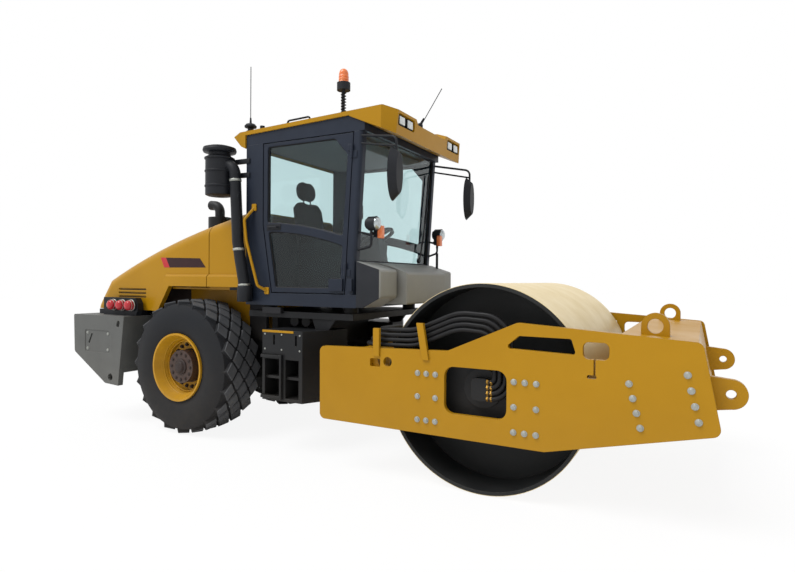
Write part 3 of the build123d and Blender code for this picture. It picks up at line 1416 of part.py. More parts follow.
# Mirrors with domed backs on twin-tube arms
MIRROR_X = CAB_FRONT + 400
MIRROR_Y = CAB_HALF + 60
MIRROR_Z = CAB_TOP - 425
with BuildPart() as mirrors:
    for side in (-1, 1):
        with BuildLine() as arm:
            FilletPolyline(
                (CAB_FRONT + 30, side * (CAB_HALF - 20), CAB_TOP - 40),
                (MIRROR_X + 35, side * MIRROR_Y, CAB_TOP - 110),
                (MIRROR_X + 35, side * MIRROR_Y, MIRROR_Z + 100),
                radius=60,
            )
        with BuildSketch(along(arm.line)):
            Circle(ARM_R)
        sweep(path=arm.line)
        with BuildLine() as brace:
            Line(
                (CAB_FRONT + 26, side * (CAB_HALF - 20), CAB_TOP - 110),
                (MIRROR_X + 35, side * MIRROR_Y, CAB_TOP - 190),
            )
        with BuildSketch(along(brace.line)):
            Circle(ARM_R - 2)
        sweep(path=brace.line)
        with BuildSketch(wheel_plane(MIRROR_X, side * MIRROR_Y, MIRROR_Z, 1)):
            Ellipse(100, 235)
        with BuildSketch(wheel_plane(MIRROR_X + 68, side * MIRROR_Y, MIRROR_Z, 1)):
            Ellipse(62, 175)
        loft()
    add(cab_posts.part, mode=Mode.SUBTRACT)
save(mirrors.part, "mirrors")

# Handrails behind the doors
GRIP_R = 14
GRIP_Y = CAB_HALF + 75
with BuildPart() as handrails:
    for side in (-1, 1):
        with BuildLine() as rail:
            FilletPolyline(
                (REAR_POST - 105, side * CAB_HALF, CAB_SILL + 850),
                (REAR_POST - 170, side * GRIP_Y, CAB_SILL + 725),
                (REAR_POST - 142, side * GRIP_Y, CAB_SILL + 510),
                (REAR_POST + 5, side * GRIP_Y, CAB_SILL + 70),
                (REAR_POST + 62, side * CAB_HALF, CAB_SILL + 20),
                radius=[45, 200, 40],
            )
        with BuildSketch(along(rail.line)):
            Circle(GRIP_R)
        sweep(path=rail.line)
        with BuildSketch(across(side, CAB_HALF, 12)):
            with Locations((REAR_POST - 105, CAB_SILL + 850), (REAR_POST + 62, CAB_SILL + 22)):
                RectangleRounded(56, 70, 12)
        extrude(amount=12)
    add(cab_posts.part, mode=Mode.SUBTRACT)
    add(cab_floor.part, mode=Mode.SUBTRACT)
save(handrails.part, "handrails")

# Air cleaner with rain cap and intake pipe at the cab's right rear corner
PIPE_Y = -(CAB_HALF + 80)
PIPE_R = 60
CLEANER_X = CAB_REAR - 327
CLEANER_Z = CAB_TOP - 505
CLEANER_H = 455
with BuildPart() as air_cleaner:
    with BuildSketch(Plane.XY.offset(CLEANER_Z)):
        with Locations((CLEANER_X, PIPE_Y)):
            RectangleRounded(322, 260, 75)
    extrude(amount=CLEANER_H)
    chamfer(air_cleaner.faces().filter_by(Axis.Z).edges(), length=30)
    with BuildSketch(Plane.XY.offset(CLEANER_Z + CLEANER_H)):
        with Locations((CLEANER_X, PIPE_Y)):
            Circle(80)
    extrude(amount=30)
    with BuildSketch(Plane.XY.offset(CLEANER_Z + CLEANER_H + 15)):
        with Locations((CLEANER_X, PIPE_Y)):
            Circle(178)
    extrude(amount=45, taper=25)
    with BuildLine() as pipe:
        FilletPolyline(
            (CLEANER_X + 100, PIPE_Y, CLEANER_Z + 307),
            (CAB_REAR - 78, PIPE_Y, CLEANER_Z + 307),
            (CAB_REAR - 35, PIPE_Y, CAB_SILL + 510),
            (CAB_REAR + 45, PIPE_Y, CAB_SILL + 120),
            (CAB_REAR + 60, PIPE_Y, CAB_SILL - 60),
            radius=[90, 300, 150],
        )
    with BuildSketch(along(pipe.line)):
        Circle(PIPE_R)
    sweep(path=pipe.line)
    with BuildSketch(Plane.XY.offset(CAB_SILL - 90)):
        with Locations((CAB_REAR + 62, PIPE_Y)):
            Circle(PIPE_R + 15)
    extrude(amount=160)
    for x, z in ((CAB_REAR - 5, CLEANER_Z), (CAB_REAR + 15, CAB_SILL + 480)):
        with BuildSketch(Plane.XZ.offset(CAB_HALF)):
            with Locations((x, z)):
                Rectangle(130, 50)
        extrude(amount=40)
save(air_cleaner.part, "air_cleaner")

# Beacon on a flexible stem, antennas, grab loop and cap on the roof
BEACON = (160, -(CAB_HALF - 80))
BEACON_Z = roof_top(BEACON[0])
STEM_H = 250
REAR_WHIP = (CAB_REAR - 50, -(CAB_HALF - 110))
FRONT_WHIP = (CAB_FRONT + 235, 0)
LOOP_Y = -(CAB_HALF - 55)
with BuildPart() as roof_fittings:
    with BuildSketch(Plane.XY.offset(BEACON_Z - 10)):
        with Locations(BEACON):
            Circle(38)
    extrude(amount=30)
    with BuildSketch(Plane.XY.offset(BEACON_Z - 10)):
        with Locations(BEACON):
            Circle(13)
    extrude(amount=STEM_H)
    with BuildSketch(Plane.XY.offset(BEACON_Z + STEM_H - 20)):
        with Locations(BEACON):
            Circle(62)
    extrude(amount=70)
    with BuildSketch(Plane.XY.offset(roof_top(REAR_WHIP[0]) - 10)):
        with Locations(REAR_WHIP):
            Circle(45)
    extrude(amount=45)
    with BuildSketch(Plane.XY.offset(roof_top(REAR_WHIP[0]))):
        with Locations(REAR_WHIP):
            Circle(4)
    extrude(amount=695)
    with BuildSketch(Plane.XY.offset(roof_top(FRONT_WHIP[0]) - 60)):
        with Locations(FRONT_WHIP):
            Circle(28)
    extrude(amount=80)
    with BuildLine() as whip:
        Line(
            (FRONT_WHIP[0], FRONT_WHIP[1], roof_top(FRONT_WHIP[0]) - 5),
            (FRONT_WHIP[0] + 235, FRONT_WHIP[1], roof_top(FRONT_WHIP[0]) + 345),
        )
    with BuildSketch(along(whip.line)):
        Circle(4)
    sweep(path=whip.line)
    with BuildLine() as loop:
        FilletPolyline(
            (CAB_REAR + 470, LOOP_Y, roof_top(CAB_REAR + 470) - 10),
            (CAB_REAR + 480, LOOP_Y, roof_top(CAB_REAR + 480) + 45),
            (CAB_REAR + 740, LOOP_Y, roof_top(CAB_REAR + 740) + 45),
            (CAB_REAR + 750, LOOP_Y, roof_top(CAB_REAR + 750) - 10),
            radius=25,
        )
    with BuildSketch(along(loop.line)):
        Circle(9)
    sweep(path=loop.line)
    with BuildSketch(Plane.XY.offset(roof_top(CAB_REAR + 156) - 10)):
        with Locations((CAB_REAR + 156, LOOP_Y)):
            Circle(24)
    extrude(amount=55)
    add(roof.part, mode=Mode.SUBTRACT)
save(roof_fittings.part, "roof_fittings")
LENS_H = 160
with BuildPart() as beacon_lens:
    with BuildSketch(Plane.XY.offset(BEACON_Z + STEM_H + 50)):
        with Locations(BEACON):
            Circle(48)
    extrude(amount=LENS_H)
    chamfer(beacon_lens.faces().sort_by(Axis.Z)[-1].edges(), length=20)
save(beacon_lens.part, "beacon_lens")
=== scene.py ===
"""Studio picture of a single-drum road roller, dressed on its CAD frame. Metres, X forward, Y left, Z up."""

import json
import math

import bpy
from mathutils import Matrix, Vector


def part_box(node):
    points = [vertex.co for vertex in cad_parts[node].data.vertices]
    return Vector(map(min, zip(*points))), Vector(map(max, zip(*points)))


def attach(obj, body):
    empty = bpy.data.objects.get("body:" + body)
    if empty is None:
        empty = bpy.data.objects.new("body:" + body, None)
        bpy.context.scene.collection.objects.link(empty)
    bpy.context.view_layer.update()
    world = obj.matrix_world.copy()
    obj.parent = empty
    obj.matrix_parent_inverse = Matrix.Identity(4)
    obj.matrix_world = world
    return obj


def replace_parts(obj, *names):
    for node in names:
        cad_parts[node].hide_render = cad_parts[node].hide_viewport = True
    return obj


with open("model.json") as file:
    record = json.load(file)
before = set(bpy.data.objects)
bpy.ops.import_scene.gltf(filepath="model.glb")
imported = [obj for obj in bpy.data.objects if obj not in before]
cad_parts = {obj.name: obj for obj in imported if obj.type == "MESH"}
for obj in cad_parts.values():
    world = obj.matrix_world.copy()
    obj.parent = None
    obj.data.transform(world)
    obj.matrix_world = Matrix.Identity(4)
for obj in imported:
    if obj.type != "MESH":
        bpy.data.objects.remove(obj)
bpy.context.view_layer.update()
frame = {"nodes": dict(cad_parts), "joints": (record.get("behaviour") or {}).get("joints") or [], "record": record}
nodes = frame["nodes"]
pivots = {joint["name"]: joint.get("pos_m") for joint in frame["joints"]}

# Camera as in the photograph
CAMERA_PLACE = (3.1297, -5.162, 1.6227)
CAMERA_YAW = 2.0639
CAMERA_PITCH = -0.0114
CAMERA_ROLL = -0.0082
FOCAL_PX = 572.4
IMAGE_WIDTH = 795
SENSOR_MM = 36

ahead = Vector((math.cos(CAMERA_YAW), math.sin(CAMERA_YAW), 0)) * math.cos(CAMERA_PITCH)
ahead.z = math.sin(CAMERA_PITCH)
level = Vector((math.sin(CAMERA_YAW), -math.cos(CAMERA_YAW), 0))
drop = ahead.cross(level)
right = level * math.cos(CAMERA_ROLL) + drop * math.sin(CAMERA_ROLL)
down = drop * math.cos(CAMERA_ROLL) - level * math.sin(CAMERA_ROLL)
bpy.ops.object.select_all(action="DESELECT")
bpy.ops.object.camera_add()
camera = bpy.context.object
turn = Matrix((right, -down, -ahead)).transposed().to_4x4()
camera.matrix_world = Matrix.Translation(CAMERA_PLACE) @ turn
camera.data.sensor_width = SENSOR_MM
camera.data.lens = FOCAL_PX * SENSOR_MM / IMAGE_WIDTH
bpy.context.scene.camera = camera


# Materials, with the size in millimetres of the patterns that they share
CHIP_MM = 25
DUST_CLOUD_MM = 140
GLASS_FILM_MM = 180


def linear(hex_code):
    """Linear colour from an sRGB hex code."""
    parts = [int(hex_code[i : i + 2], 16) / 255 for i in (0, 2, 4)]
    return tuple(p / 12.92 if p <= 0.04045 else ((p + 0.055) / 1.055) ** 2.4 for p in parts) + (1.0,)


def node(tree, kind, settings=None, values=None, links=None):
    """One shader node with its settings, socket values and incoming links."""
    made = tree.nodes.new(kind)
    for key, value in (settings or {}).items():
        setattr(made, key, value)
    for key, value in (values or {}).items():
        made.inputs[key].default_value = value
    for key, source in (links or {}).items():
        tree.links.new(source, made.inputs[key])
    return made


def blend_colour(tree, factor, first, second):
    """Colour that goes from first to second with factor; each is a socket or a hex code."""
    mix = node(tree, "ShaderNodeMix", settings={"data_type": "RGBA"}, links={0: factor})
    for index, colour in ((6, first), (7, second)):
        if isinstance(colour, str):
            mix.inputs[index].default_value = linear(colour)
        else:
            tree.links.new(colour, mix.inputs[index])
    return mix.outputs[2]


def finish(
    name,
    colours,
    patch_mm,
    rough,
    swing=0.08,
    metallic=0.0,
    coat=0.0,
    grain_mm=2.0,
    grain=0.05,
    edge_mm=3.0,
    worn=None,
    dust=None,
    zone=None,
    shine=0.22,
):
    """Surface with drifting colour, fine grain and soft edges; wear, low dust and a second zone if asked."""
    material = bpy.data.materials.new(name)
    material.use_nodes = True
    tree = material.node_tree
    shader = tree.nodes["Principled BSDF"]
    place = node(tree, "ShaderNodeTexCoord").outputs["Object"]
    patches = node(
        tree,
        "ShaderNodeTexNoise",
        values={"Scale": 1000 / patch_mm, "Detail": 6.0, "Roughness": 0.62},
        links={"Vector": place},
    ).outputs["Fac"]
    spread = node(
        tree,
        "ShaderNodeMapRange",
        values={"From Min": 0.32, "From Max": 0.68},
        links={"Value": patches},
    ).outputs["Result"]
    gloss = node(
        tree,
        "ShaderNodeMapRange",
        values={"From Min": 0.3, "From Max": 0.7, "To Min": rough - swing, "To Max": rough + swing},
        links={"Value": patches},
    ).outputs["Result"]
    colour = blend_colour(tree, spread, *colours)
    shader.inputs["Metallic"].default_value = metallic
    if zone:
        away = node(
            tree,
            "ShaderNodeVectorMath",
            settings={"operation": "SUBTRACT"},
            values={1: zone["centre"]},
            links={0: place},
        ).outputs["Vector"]
        flat = node(
            tree,
            "ShaderNodeVectorMath",
            settings={"operation": "MULTIPLY"},
            values={1: zone["axes"]},
            links={0: away},
        ).outputs["Vector"]
        reach = node(
            tree,
            "ShaderNodeVectorMath",
            settings={"operation": "LENGTH"},
            links={0: flat},
        ).outputs["Value"]
        inside = node(
            tree,
            "ShaderNodeMath",
            settings={"operation": "GREATER_THAN"},
            values={1: zone["limit"]},
            links={0: reach},
        ).outputs["Value"]
        zone_colour = blend_colour(tree, spread, *zone["colours"])
        colour = blend_colour(tree, inside, colour, zone_colour)
        gloss = node(
            tree,
            "ShaderNodeMath",
            settings={"operation": "MULTIPLY_ADD"},
            values={1: zone["rough"] - rough},
            links={0: inside, 2: gloss},
        ).outputs["Value"]
        if zone["metallic"] != metallic:
            metal = node(
                tree,
                "ShaderNodeMapRange",
                values={"To Min": metallic, "To Max": zone["metallic"]},
                links={"Value": inside},
            ).outputs["Result"]
            tree.links.new(metal, shader.inputs["Metallic"])
    soft = node(
        tree,
        "ShaderNodeBevel",
        settings={"samples": 4},
        values={"Radius": edge_mm / 1000},
    ).outputs["Normal"]
    if worn:
        face = node(tree, "ShaderNodeNewGeometry").outputs["True Normal"]
        turned_by = node(
            tree,
            "ShaderNodeVectorMath",
            settings={"operation": "DOT_PRODUCT"},
            links={0: soft, 1: face},
        ).outputs["Value"]
        chips = node(
            tree,
            "ShaderNodeTexNoise",
            values={"Scale": 1000 / CHIP_MM, "Detail": 4.0},
            links={"Vector": place},
        ).outputs["Fac"]
        bare = node(
            tree,
            "ShaderNodeMapRange",
            values={"From Min": 0.97, "From Max": 0.8, "To Min": 0.0, "To Max": 0.9},
            links={"Value": turned_by},
        ).outputs["Result"]
        chipped = node(
            tree,
            "ShaderNodeMath",
            settings={"operation": "MULTIPLY"},
            links={0: bare, 1: chips},
        ).outputs["Value"]
        colour = blend_colour(tree, chipped, colour, worn)
    if dust:
        height = node(tree, "ShaderNodeSeparateXYZ", links={0: place}).outputs["Z"]
        low = node(
            tree,
            "ShaderNodeMapRange",
            values={"From Min": dust["top"], "From Max": 0.1, "To Min": 0.0, "To Max": dust["amount"]},
            links={"Value": height},
        ).outputs["Result"]
        cloud = node(
            tree,
            "ShaderNodeTexNoise",
            values={"Scale": 1000 / DUST_CLOUD_MM, "Detail": 7.0, "Roughness": 0.7},
            links={"Vector": place},
        ).outputs["Fac"]
        settled = node(
            tree,
            "ShaderNodeMath",
            settings={"operation": "MULTIPLY"},
            links={0: low, 1: cloud},
        ).outputs["Value"]
        colour = blend_colour(tree, settled, colour, dust["hex"])
    skin = node(
        tree,
        "ShaderNodeTexNoise",
        values={"Scale": 1000 / grain_mm, "Detail": 3.0},
        links={"Vector": place},
    ).outputs["Fac"]
    bump = node(
        tree,
        "ShaderNodeBump",
        values={"Strength": grain, "Distance": 0.001},
        links={"Height": skin, "Normal": soft},
    ).outputs["Normal"]
    tree.links.new(colour, shader.inputs["Base Color"])
    tree.links.new(gloss, shader.inputs["Roughness"])
    tree.links.new(bump, shader.inputs["Normal"])
    shader.inputs["Specular IOR Level"].default_value = shine
    shader.inputs["Coat Weight"].default_value = coat
    shader.inputs["Coat Roughness"].default_value = 0.08
    return material


def see_through(name, hex_code):
    """Clear pane that tints what is seen through it and mirrors the rest, with a faint film of dust."""
    material = bpy.data.materials.new(name)
    material.use_nodes = True
    tree = material.node_tree
    shader = tree.nodes["Principled BSDF"]
    place = node(tree, "ShaderNodeTexCoord").outputs["Object"]
    film = node(
        tree,
        "ShaderNodeTexNoise",
        values={"Scale": 1000 / GLASS_FILM_MM, "Detail": 5.0},
        links={"Vector": place},
    ).outputs["Fac"]
    haze = node(
        tree,
        "ShaderNodeMapRange",
        values={"To Min": 0.0, "To Max": 0.02},
        links={"Value": film},
    ).outputs["Result"]
    tree.links.new(haze, shader.inputs["Roughness"])
    shader.inputs["Base Color"].default_value = linear(hex_code)
    shader.inputs["Transmission Weight"].default_value = 1.0
    shader.inputs["IOR"].default_value = 1.3
    return material


ROAD_DUST = "8A7A62"
DRUM_AXIS = pivots["drum_spin"]
WHEEL_AXIS = pivots["wheel_right_spin"]

# Sprayed enamel over steel: even, half glossy, dusty low down, a little dark where edges are knocked
yellow_enamel = finish(
    "sprayed_yellow_enamel",
    ("AD7F0C", "A57809"),
    900,
    0.38,
    grain_mm=3,
    edge_mm=5,
    worn="6E5420",
    dust={"hex": ROAD_DUST, "amount": 0.12, "top": 0.9},
)
# The same enamel on the wheel, with the hub inside it in dark primer
wheel_enamel = finish(
    "yellow_enamel_and_primed_hub",
    ("3A2D2B", "463734"),
    120,
    0.5,
    grain_mm=3,
    worn="6A5A4C",
    dust={"hex": ROAD_DUST, "amount": 0.3, "top": 1.2},
    zone={
        "centre": WHEEL_AXIS,
        "axes": (1, 0, 1),
        "limit": 0.178,
        "colours": ("BE8C10", "B0800C"),
        "rough": 0.4,
        "metallic": 0.0,
    },
)
# Chassis enamel: near black, satin, greyed by dust
chassis_black = finish(
    "black_chassis_enamel",
    ("17181A", "1F2022"),
    400,
    0.48,
    grain_mm=2,
    edge_mm=4,
    worn="45423C",
    dust={"hex": ROAD_DUST, "amount": 0.12, "top": 1.0},
)
# Fender enamel: yellow round the wheel, black further from it as painted shade under the cab and the hood
fender_enamel_and_painted_shade = finish(
    "yellow_fender_enamel_with_painted_shade",
    ("A0740A", "966C08"),
    500,
    0.42,
    grain_mm=3,
    edge_mm=4,
    dust={"hex": ROAD_DUST, "amount": 0.3, "top": 1.4},
    # Zone: the black beyond the wheel is painted shade
    zone={
        "centre": WHEEL_AXIS,
        "axes": (1, 0, 0),
        "limit": 0.46,
        "colours": ("17181C", "1F2024"),
        "rough": 0.48,
        "metallic": 0.0,
    },
)
# Powder coat: dark blue-grey with a fine orange-peel skin
cab_coat = finish(
    "dark_blue_grey_powder_coat",
    ("1B212D", "232A37"),
    500,
    0.42,
    grain_mm=4,
    grain=0.08,
    edge_mm=6,
    worn="3E4450",
)
# Cast iron under grey paint: pitted, satin, scuffed on the edges
weight_paint = finish(
    "grey_painted_casting",
    ("555654", "616260"),
    350,
    0.55,
    grain_mm=7,
    grain=0.25,
    edge_mm=8,
    worn="7C7B76",
    dust={"hex": ROAD_DUST, "amount": 0.15, "top": 1.0},
)
# Moulded panels: light grey faces, with the outer side faces painted dark grey as shade
cover_panel_with_painted_shade = finish(
    "moulded_grey_panel_with_painted_shade",
    ("888986", "929390"),
    400,
    0.5,
    grain_mm=2,
    edge_mm=10,
    # Zone: the dark outer side faces are painted shade
    zone={
        "centre": (0, 0, 0),
        "axes": (0, 1, 0),
        "limit": 0.7985,
        "colours": ("1F2126", "282A2F"),
        "rough": 0.45,
        "metallic": 0.0,
    },
)
# Rolled plate: pale polished wrap with a warm cast painted in as the reflection of the yellow frame, dark paint on
# the heads and the inside
drum_plate_with_painted_reflection = finish(
    "rolled_drum_plate_with_painted_reflection",
    ("1E1F20", "292A2A"),
    260,
    0.5,
    grain_mm=5,
    grain=0.12,
    edge_mm=4,
    worn="6C6456",
    # Zone: the wrap's warm colour is a painted reflection of the yellow frame
    zone={
        "centre": DRUM_AXIS,
        "axes": (1, 0, 1),
        "limit": 0.7965,
        "colours": ("E8D5A8", "DDC99A"),
        "rough": 0.42,
        "metallic": 0.15,
    },
)
# Turned steel: bright with fine tool marks
turned_steel = finish("turned_steel", ("B8B8B4", "A2A29E"), 80, 0.3, metallic=1.0, grain_mm=1, edge_mm=1)
# Zinc plate: pale grey, faintly clouded
zinc_plate = finish("zinc_plated_steel", ("A9ABA6", "94968F"), 30, 0.42, metallic=0.7, grain_mm=1, edge_mm=1)
# Hard chrome: mirror bright
hard_chrome = finish(
    "hard_chrome",
    ("D6D6D8", "C6C6CA"),
    60,
    0.12,
    swing=0.03,
    metallic=1.0,
    grain_mm=1,
    grain=0.01,
    edge_mm=1,
)
# Bare casting: dark, matt and pitted
dark_casting = finish("dark_cast_iron", ("302826", "3C322F"), 120, 0.6, grain_mm=5, grain=0.3, worn="4C4440")
# Moulded rubber: blue-black sidewall, tread blocks greyed by dust and scuffing
tyre_rubber = finish(
    "moulded_tyre_rubber",
    ("14161A", "1C1E22"),
    220,
    0.7,
    grain_mm=3,
    grain=0.12,
    edge_mm=6,
    worn="3C3C3E",
    dust={"hex": ROAD_DUST, "amount": 0.1, "top": 1.2},
    zone={
        "centre": WHEEL_AXIS,
        "axes": (1, 0, 1),
        "limit": 0.676,
        "colours": ("46484C", "565759"),
        "rough": 0.82,
        "metallic": 0.0,
    },
)
# Extruded rubber: black with a dull sheen
hose_rubber = finish("extruded_black_rubber", ("121213", "1B1B1D"), 120, 0.5, grain_mm=2, edge_mm=1)
# Grained plastic: black, fine leather-like skin
grained_plastic = finish(
    "grained_black_plastic",
    ("15171B", "1E2025"),
    200,
    0.5,
    grain_mm=3,
    grain=0.15,
    edge_mm=4,
)
# Acrylic lenses: deep colour under a hard gloss
red_acrylic = finish(
    "red_lamp_acrylic",
    ("A8141F", "BC2A34"),
    40,
    0.14,
    coat=0.4,
    grain_mm=9,
    grain=0.2,
    edge_mm=2,
)
orange_acrylic = finish(
    "orange_lamp_acrylic",
    ("DE6A2C", "EE8E56"),
    40,
    0.18,
    coat=0.5,
    grain_mm=9,
    grain=0.2,
    edge_mm=2,
)
# Clear lenses: pressed prisms that catch the light, the round ones over a bright bowl
white_acrylic = finish(
    "prismatic_clear_lens",
    ("B9C0C2", "DDE2E2"),
    25,
    0.1,
    coat=0.6,
    grain_mm=8,
    grain=0.6,
    edge_mm=2,
    shine=0.5,
)
bright_reflector = finish(
    "ribbed_lens_over_reflector",
    ("8E9699", "C4CACC"),
    22,
    0.14,
    metallic=0.85,
    coat=0.6,
    grain_mm=14,
    grain=1.0,
    edge_mm=2,
)
# Drawn brass: warm yellow metal
drawn_brass = finish("drawn_brass", ("8A6A30", "6E5426"), 40, 0.4, metallic=1.0, grain_mm=1, edge_mm=1)
# Polyester weave: near black, dull, with a nap
seat_weave = finish("woven_seat_fabric", ("1C1E21", "26282C"), 60, 0.88, grain_mm=2.5, grain=0.5, edge_mm=3)
# Headliner felt: mid grey, quite matt
headliner_felt = finish(
    "grey_headliner_felt",
    ("62686E", "6C7278"),
    80,
    0.92,
    grain_mm=2,
    grain=0.4,
    edge_mm=4,
)
# Silvered glass: a near perfect mirror
silvered = finish(
    "silvered_mirror",
    ("C8CDD0", "D2D6D8"),
    300,
    0.05,
    swing=0.02,
    metallic=1.0,
    grain=0.0,
    edge_mm=1,
)
# Cast vinyl film: flat dark maroon and red
maroon_film = finish("dark_vinyl_film", ("2A1416", "33191A"), 200, 0.4, grain_mm=2, edge_mm=1)
red_film = finish("red_vinyl_film", ("B02A30", "BC3A3E"), 200, 0.4, grain_mm=2, edge_mm=1)
# Toughened glass: clear with a faint blue-green tint
cab_pane = see_through("toughened_cab_glass", "DCECED")

slot_finish = {
    "yellow_paint": yellow_enamel,
    "frame_black": chassis_black,
    "cab_dark": cab_coat,
    "weight_grey": weight_paint,
    "cover_grey": cover_panel_with_painted_shade,
    "drum_steel": drum_plate_with_painted_reflection,
    "bright_steel": turned_steel,
    "rod_chrome": hard_chrome,
    "cast_dark": dark_casting,
    "tyre_rubber": tyre_rubber,
    "black_rubber": hose_rubber,
    "black_plastic": grained_plastic,
    "lamp_red": red_acrylic,
    "lamp_orange": orange_acrylic,
    "clear_glass": cab_pane,
    "seat_fabric": seat_weave,
}
for part in frame["record"]["subparts"]:
    nodes[part["node"]].material_slots[0].material = slot_finish[part["material_slot"]]
for wheel in ("rim_right", "rim_left"):
    nodes[wheel].material_slots[0].material = wheel_enamel
# Inner fenders and fender bars get the yellow enamel with its painted shade
for fender in ("inner_fenders", "fender_bars"):
    nodes[fender].material_slots[0].material = fender_enamel_and_painted_shade


# Modelling helpers
def only(*pieces):
    """Select just these pieces, the first one active."""
    bpy.ops.object.select_all(action="DESELECT")
    for piece in pieces:
        piece.select_set(True)
    bpy.context.view_layer.objects.active = pieces[0]


def block(centre, size, edge=0.0, steps=2):
    """Box at a place, with rounded edges."""
    bpy.ops.object.select_all(action="DESELECT")
    bpy.ops.mesh.primitive_cube_add(size=1, location=centre)
    piece = bpy.context.object
    piece.scale = size
    bpy.ops.object.transform_apply(location=True, rotation=True, scale=True)
    if edge:
        bpy.ops.object.mode_set(mode="EDIT")
        bpy.ops.mesh.select_all(action="SELECT")
        bpy.ops.mesh.bevel(offset=edge, segments=steps, affect="EDGES")
        bpy.ops.object.mode_set(mode="OBJECT")
    return piece


def turned(profile, place, aim, sides=24, squash=(1, 1)):
    """Round piece drawn up from (radius, height) steps along aim, its round squashed if asked."""
    bpy.ops.object.select_all(action="DESELECT")
    radius, height = profile[0]
    foot = (0, 0, height)
    bpy.ops.mesh.primitive_circle_add(vertices=sides, radius=radius, fill_type="NGON", location=foot)
    piece = bpy.context.object
    bpy.ops.object.transform_apply(location=True, rotation=True, scale=True)
    bpy.ops.object.mode_set(mode="EDIT")
    bpy.ops.mesh.select_all(action="SELECT")
    for next_radius, next_height in profile[1:]:
        rise = (0, 0, next_height - height)
        grow = next_radius / radius
        bpy.ops.mesh.extrude_region_move(TRANSFORM_OT_translate={"value": rise})
        bpy.ops.transform.resize(value=(grow, grow, 1), center_override=(0, 0, next_height))
        radius, height = next_radius, next_height
    bpy.ops.mesh.select_all(action="SELECT")
    bpy.ops.mesh.normals_make_consistent(inside=False)
    bpy.ops.object.mode_set(mode="OBJECT")
    swing = Vector((0, 0, 1)).rotation_difference(Vector(aim)).to_matrix().to_4x4()
    piece.matrix_world = Matrix.Translation(place) @ swing @ Matrix.Diagonal((*squash, 1, 1))
    bpy.ops.object.transform_apply(location=True, rotation=True, scale=True)
    return piece


def tube(points, radius, closed=False, sides=3):
    """Round bar along points."""
    line = bpy.data.curves.new("line", "CURVE")
    line.dimensions = "3D"
    line.bevel_depth = radius
    line.bevel_resolution = sides
    line.use_fill_caps = True
    run = line.splines.new("POLY")
    run.points.add(len(points) - 1)
    for spot, point in zip(run.points, points):
        spot.co = (*point, 1)
    run.use_cyclic_u = closed
    piece = bpy.data.objects.new("line", line)
    bpy.context.collection.objects.link(piece)
    only(piece)
    bpy.ops.object.convert(target="MESH")
    return bpy.context.object


def ring(centre, aim, radius, count=28):
    """Points round a circle that faces aim."""
    swing = Vector((0, 0, 1)).rotation_difference(Vector(aim)).to_matrix()
    spots = []
    for step in range(count):
        angle = step * math.tau / count
        spoke = Vector((radius * math.cos(angle), radius * math.sin(angle), 0))
        spots.append(Vector(centre) + swing @ spoke)
    return spots


def thicken(sheet, shift):
    """Make a flat sheet a slab by drawing its face out by shift."""
    only(sheet)
    bpy.ops.object.mode_set(mode="EDIT")
    bpy.ops.mesh.select_all(action="SELECT")
    bpy.ops.mesh.extrude_region_move(TRANSFORM_OT_translate={"value": shift})
    bpy.ops.mesh.select_all(action="SELECT")
    bpy.ops.mesh.normals_make_consistent(inside=False)
    bpy.ops.object.mode_set(mode="OBJECT")


def modify(piece, kind, **settings):
    """Apply one modifier with its settings."""
    only(piece)
    made = piece.modifiers.new(kind.lower(), kind)
    for key, value in settings.items():
        setattr(made, key, value)
    bpy.ops.object.modifier_apply(modifier=made.name)


def tilted(piece, centre, degrees):
    """The piece turned about Y and set at a centre."""
    only(piece)
    piece.matrix_world = Matrix.Translation(centre) @ Matrix.Rotation(math.radians(degrees), 4, "Y")
    bpy.ops.object.transform_apply(location=True, rotation=True, scale=True)
    return piece


def joined(pieces):
    """The pieces as one mesh."""
    only(*pieces)
    if len(pieces) > 1:
        bpy.ops.object.join()
    return bpy.context.object


def copies(model, shifts):
    """The model repeated at each shift, as one mesh."""
    made = []
    for shift in shifts:
        only(model)
        bpy.ops.object.duplicate()
        twin = bpy.context.object
        twin.location = shift
        made.append(twin)
    bpy.data.objects.remove(model, do_unlink=True)
    return joined(made)


def hand_over(piece, name, body, material, angle=38):
    """Finished piece: at the origin, smoothed, named, painted and riding on its body."""
    only(piece)
    bpy.ops.object.transform_apply(location=True, rotation=True, scale=True)
    bpy.ops.object.shade_smooth_by_angle(angle=math.radians(angle))
    piece.name = name
    piece.data.materials.clear()
    piece.data.materials.append(material)
    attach(piece, body)
    return piece


def bolts(spots, aim, radius, height, washer):
    """Hexagon heads, each on a round washer, at the spots and as one mesh."""
    disc_profile = [(washer, 0), (washer, height * 0.22), (washer * 0.94, height * 0.28)]
    head_profile = [(radius, 0), (radius, height * 0.62), (radius * 0.86, height * 0.72)]
    disc = turned(disc_profile, (0, 0, 0), aim, sides=18)
    head = turned(head_profile, Vector(aim) * height * 0.26, aim, sides=6)
    return copies(joined([disc, head]), spots)


def evenly(first, last, count):
    """Points spaced evenly from first to last."""
    a, b = Vector(first), Vector(last)
    return [a.lerp(b, step / (count - 1)) for step in range(count)]


